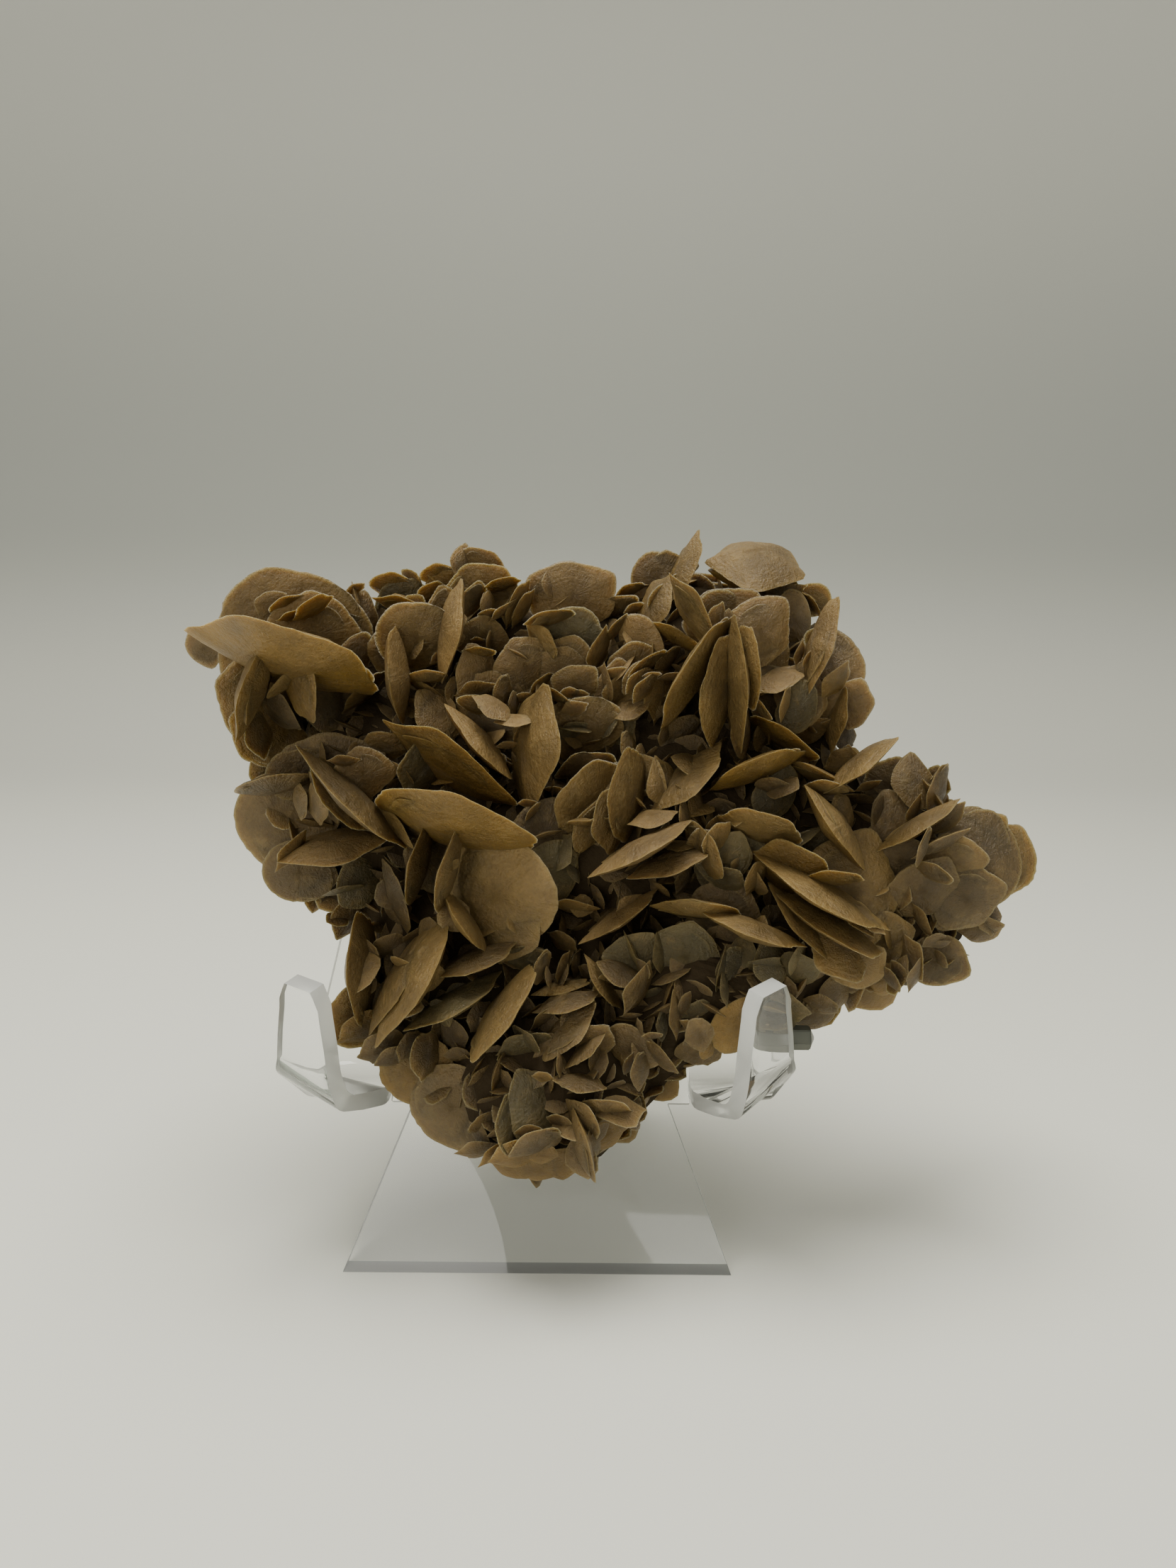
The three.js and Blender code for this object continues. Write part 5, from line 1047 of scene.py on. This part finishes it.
def massive_siderite(tree, settings):
    """Massive siderite between the crystals: dull, and dark partly in its own colour and partly as
    painted shade in the gaps.
    """
    place = tree.node("ShaderNodeTexCoord").outputs["Object"]
    bump = tree.node("ShaderNodeBump", {"Strength": 0.8, "Distance": 0.8 * MM,
                     "Height": tree.noise(place, 600.0, 6.0)})
    return principled(tree, {"Base Color": (*settings.matrix, 1), "Roughness": 0.9,
                             "Specular IOR Level": 0.15, "Normal": bump.outputs[0]})


def quartz(tree, settings):
    """Quartz, grey-green and cloudy."""
    return principled(tree, {"Base Color": (*settings.quartz, 1), "Roughness": 0.25, "IOR": 1.55,
                             "Transmission Weight": 0.35})


def clear_acrylic(tree, _):
    """Clear cast acrylic sheet, very slightly green through its length."""
    absorb = tree.node("ShaderNodeVolumeAbsorption", {"Color": (0.9, 0.95, 0.92, 1),
                       "Density": 4.0})
    return {"Volume": absorb.outputs[0], **principled(tree, {
        "Base Color": (0.98, 0.985, 0.98, 1), "Roughness": 0.02, "IOR": 1.49,
        "Transmission Weight": 1.0})}


def acrylic_cut_edge(tree, _):
    """The acrylic's cut edges, flame-polished but still slightly frosted."""
    return principled(tree, {"Base Color": (0.9, 0.91, 0.88, 1), "Roughness": 0.25, "IOR": 1.49,
                             "Transmission Weight": 0.5})


def pale_sweep(tree, settings):
    """A matt, pale table that runs up behind, with a band of painted shade up the rise that fades
    back to the table's colour towards the top.
    """
    place = tree.node("ShaderNodeTexCoord").outputs["Object"]
    height = tree.node("ShaderNodeSeparateXYZ", {0: place}).outputs[2]
    # Painted shade: the greyer colour comes in from the foot of the rise and gives way again higher
    # up, nearer the overhead light.
    rise = tree.smooth_step(height, 0.0, 0.16)
    fade = tree.smooth_step(height, 0.2, 0.7, low=1.0, high=0.0)
    shade = tree.mixed(tree.maths("MULTIPLY", rise, fade), (*settings.floor, 1),
                       (*settings.backdrop_shade, 1))
    return principled(tree, {"Base Color": shade, "Roughness": 0.55})


# ------------------------------------------------------------------ the other pieces


def quartz_prism():
    """A short six-sided prism of quartz with a low point at each end."""
    radius, half, point = 2.1 * MM, 4.2 * MM, 0.9 * MM
    mesh = bpy.data.meshes.new("quartz_prism")
    build = bmesh.new()
    bmesh.ops.create_cone(build, cap_ends=True, segments=6, radius1=radius, radius2=radius,
                          depth=2 * half)
    for face in [f for f in build.faces if len(f.verts) == 6]:
        tip = bmesh.ops.poke(build, faces=[face])["verts"][0]
        tip.co.z += math.copysign(point, tip.co.z)
    bmesh.ops.bevel(build, geom=build.edges[:], offset=0.15 * MM, segments=2, affect="EDGES")
    turn = Matrix.Translation(slab_frame() @ QUARTZ_PLACE) @ slab_turn().to_4x4()
    build.transform(turn @ Matrix.Rotation(math.pi / 2, 4, "Y"))
    build.to_mesh(mesh)
    build.free()
    return add_object("quartz_prism_surface", mesh)


def clear_easel(settings):
    """The CAD easel with its seams merged and its edges slightly rounded."""
    mesh = frame["nodes"][EASEL].data.copy()
    mesh.name = "clear_easel"
    mesh.materials.clear()
    build = bmesh.new()
    build.from_mesh(mesh)
    bmesh.ops.remove_doubles(build, verts=build.verts[:], dist=0.01 * MM)
    bmesh.ops.dissolve_limit(build, angle_limit=math.radians(1), verts=build.verts[:],
                             edges=build.edges[:])
    sharp = [e for e in build.edges if e.is_manifold and e.calc_face_angle() > math.radians(35)]
    bmesh.ops.bevel(build, geom=sharp, offset=settings.edge_round, segments=3, profile=0.5,
                    affect="EDGES", clamp_overlap=True)
    bmesh.ops.triangulate(build, faces=[f for f in build.faces if len(f.verts) > 4])
    through = BVHTree.FromBMesh(build)
    for face in build.faces:
        face.smooth = True
        middle = face.calc_center_median()
        behind = through.ray_cast(middle - face.normal * 0.1 * MM, -face.normal)[3]
        on_floor = middle.z < 0.1 * MM
        face.material_index = int(on_floor or behind is None or behind > SHEET_CLEARLY)
    build.to_mesh(mesh)
    build.free()
    made = add_object("clear_easel", mesh)
    mesh.set_sharp_from_angle(angle=math.radians(25))
    return made


def sweep():
    """The floor, running back and then up in one curve. All in metres."""
    half, front, back, bend, top = 1.6, -1.2, 0.45, 0.5, 1.8
    low = -0.05 * MM         # a hair below the easel, so that its cut ends show
    steps = 24
    profile = [(front, low), (back, low)]
    for k in range(1, steps + 1):
        angle = math.pi / 2 * k / steps
        profile.append((back + bend * math.sin(angle), bend * (1 - math.cos(angle))))
    profile.append((back + bend, top))
    places = [(x, y, z) for y, z in profile for x in (-half, half)]
    faces = [(2 * k, 2 * k + 1, 2 * k + 3, 2 * k + 2) for k in range(len(profile) - 1)]
    mesh = new_mesh("sweep", places, faces)
    for polygon in mesh.polygons:
        polygon.use_smooth = True
    return add_object("sweep", mesh)


def area_light(name, place, size, power, warmth):
    """A soft round light that looks at the specimen's foot."""
    data = bpy.data.lights.new(name, "AREA")
    data.shape = "DISK"
    data.size = size
    data.energy = power
    data.color = warmth
    made = add_object(name, data)
    made.location = place
    towards = Vector((0, 0, 0.05)) - Vector(place)
    made.rotation_euler = towards.to_track_quat("-Z", "Y").to_euler()
    return made


def camera():
    """The camera, close to and a little above the specimen's middle."""
    data = bpy.data.cameras.new("camera")
    data.lens = CAMERA_LENS
    data.sensor_width = 36
    data.clip_start = 0.01
    made = add_object("camera", data)
    made.location = easel_origin() + CAMERA_PLACE * MM
    level = Matrix.Rotation(math.radians(90 - CAMERA_PITCH), 3, "X")
    made.rotation_euler = (level @ Matrix.Rotation(math.radians(CAMERA_ROLL), 3, "Z")).to_euler()
    bpy.context.scene.camera = made
    return made


def room():
    """The pale light of the room all round."""
    world = bpy.data.worlds.new("room")
    world.use_nodes = True
    sky = world.node_tree.nodes["Background"]
    sky.inputs["Color"].default_value = (1.0, 0.99, 0.92, 1)
    sky.inputs["Strength"].default_value = 0.38
    return world


# ------------------------------------------------------------------ operators and panel


def specimen_piece(made, finish):
    """A finished piece of the specimen."""
    made.data.materials.clear()
    made.data.materials.append(finish)
    stands_for(made, SPECIMEN)
    if not made.data.polygons:
        raise RuntimeError(f"{made.name} came out empty")


def grow_crystals(name, regions, seed, settings):
    """The placed crystals of some regions, and the small ones in between them."""
    crystals = blades(f"{name}_crystals", regions, settings)
    ingrown = ingrown_bed(f"{name}_ingrown", crystals, settings, Seed=seed, Lean=0.7,
                          Sink=0.5 * MM, Spacing=settings.ingrown_spacing,
                          Smallest=1.6 * MM, Largest=4.2 * MM)
    specimen_piece(crystals, siderite_material(settings))
    specimen_piece(ingrown, siderite_material(settings))


class SPECIMEN_OT_upper(bpy.types.Operator):
    """Grow the crystals of the crest"""

    bl_idname = "specimen.upper"
    bl_label = "Upper crystals"

    def execute(self, context):
        grow_crystals("upper", UPPER_REGIONS, 5, context.scene.specimen)
        return {"FINISHED"}


class SPECIMEN_OT_middle(bpy.types.Operator):
    """Grow the crystals across the middle, with both lobes"""

    bl_idname = "specimen.middle"
    bl_label = "Middle crystals"

    def execute(self, context):
        grow_crystals("middle", MIDDLE_REGIONS, 6, context.scene.specimen)
        return {"FINISHED"}


class SPECIMEN_OT_lower(bpy.types.Operator):
    """Grow the crystals of the foot"""

    bl_idname = "specimen.lower"
    bl_label = "Lower crystals"

    def execute(self, context):
        grow_crystals("lower", LOWER_REGIONS, 5, context.scene.specimen)
        return {"FINISHED"}


class SPECIMEN_OT_matrix(bpy.types.Operator):
    """Make the matrix, and the beds of small crystals on its face and back"""

    bl_idname = "specimen.matrix"
    bl_label = "Matrix and beds"

    def execute(self, context):
        settings = context.scene.specimen
        core = add_object("matrix", matrix_mesh("matrix"))
        specimen_piece(core, material("massive_siderite", massive_siderite, settings))
        # The face bed lies low in the gaps; its darker tint is partly painted shade.
        face_bed = matrix_bed("face_bed", True, settings, settings.gap_shade_brown, Seed=4, Lean=0.9,
                              Sink=1.0 * MM, Spacing=settings.face_spacing,
                              Smallest=2.0 * MM, Largest=4.4 * MM)
        specimen_piece(face_bed, siderite_material(settings))
        back_bed = matrix_bed("back_bed", False, settings, settings.tan, Seed=9, Lean=1.35,
                              Sink=0.8 * MM, Spacing=settings.back_spacing,
                              Smallest=3.0 * MM, Largest=6.2 * MM)
        specimen_piece(back_bed, siderite_material(settings))
        return {"FINISHED"}


class SPECIMEN_OT_quartz(bpy.types.Operator):
    """Make the short prism of quartz"""

    bl_idname = "specimen.quartz"
    bl_label = "Quartz prism"

    def execute(self, context):
        specimen_piece(quartz_prism(), material("quartz", quartz, context.scene.specimen))
        return {"FINISHED"}


class SPECIMEN_OT_easel(bpy.types.Operator):
    """Make the clear acrylic easel"""

    bl_idname = "specimen.easel"
    bl_label = "Acrylic easel"

    def execute(self, context):
        settings = context.scene.specimen
        made = clear_easel(settings)
        made.data.materials.append(material("clear_acrylic", clear_acrylic, settings))
        made.data.materials.append(material("acrylic_cut_edge", acrylic_cut_edge, settings))
        stands_for(made, EASEL)
        return {"FINISHED"}


class SPECIMEN_OT_stage(bpy.types.Operator):
    """Make the floor, the lights and the camera"""

    bl_idname = "specimen.stage"
    bl_label = "Stage"

    def execute(self, context):
        settings = context.scene.specimen
        floor = sweep()
        floor.data.materials.append(material("pale_sweep", pale_sweep, settings))
        overhead = area_light("overhead", (-0.06, -0.02, 0.6), 0.42, settings.light,
                              (1.0, 0.98, 0.9))
        front = area_light("window", (-0.5, -1.1, 0.42), 0.8, settings.light * 1.2,
                           (1.0, 0.98, 0.92))
        camera()
        context.scene.world = room()
        return {"FINISHED"}


STEPS = [SPECIMEN_OT_upper, SPECIMEN_OT_middle, SPECIMEN_OT_lower, SPECIMEN_OT_matrix,
         SPECIMEN_OT_quartz, SPECIMEN_OT_easel, SPECIMEN_OT_stage]


class SPECIMEN_PT_panel(bpy.types.Panel):
    """Settings and buttons of the specimen"""

    bl_idname = "SPECIMEN_PT_panel"
    bl_label = "Siderite specimen"
    bl_space_type = "VIEW_3D"
    bl_region_type = "UI"
    bl_category = "Specimen"

    def draw(self, context):
        for name in SpecimenSettings.__annotations__:
            self.layout.prop(context.scene.specimen, name)
        for step in STEPS:
            self.layout.operator(step.bl_idname)


CLASSES = [SpecimenSettings, *STEPS, SPECIMEN_PT_panel]


def register():
    """Adds the settings, the operators and the panel."""
    for kind in CLASSES:
        bpy.utils.register_class(kind)
    bpy.types.Scene.specimen = bpy.props.PointerProperty(type=SpecimenSettings)


def unregister():
    """Takes them away again."""
    del bpy.types.Scene.specimen
    for kind in reversed(CLASSES):
        bpy.utils.unregister_class(kind)


def main():
    """Builds everything in order."""
    register()
    bpy.ops.specimen.upper()
    bpy.ops.specimen.middle()
    bpy.ops.specimen.lower()
    bpy.ops.specimen.matrix()
    bpy.ops.specimen.quartz()
    bpy.ops.specimen.easel()
    bpy.ops.specimen.stage()


if __name__ == "__main__":
    main()
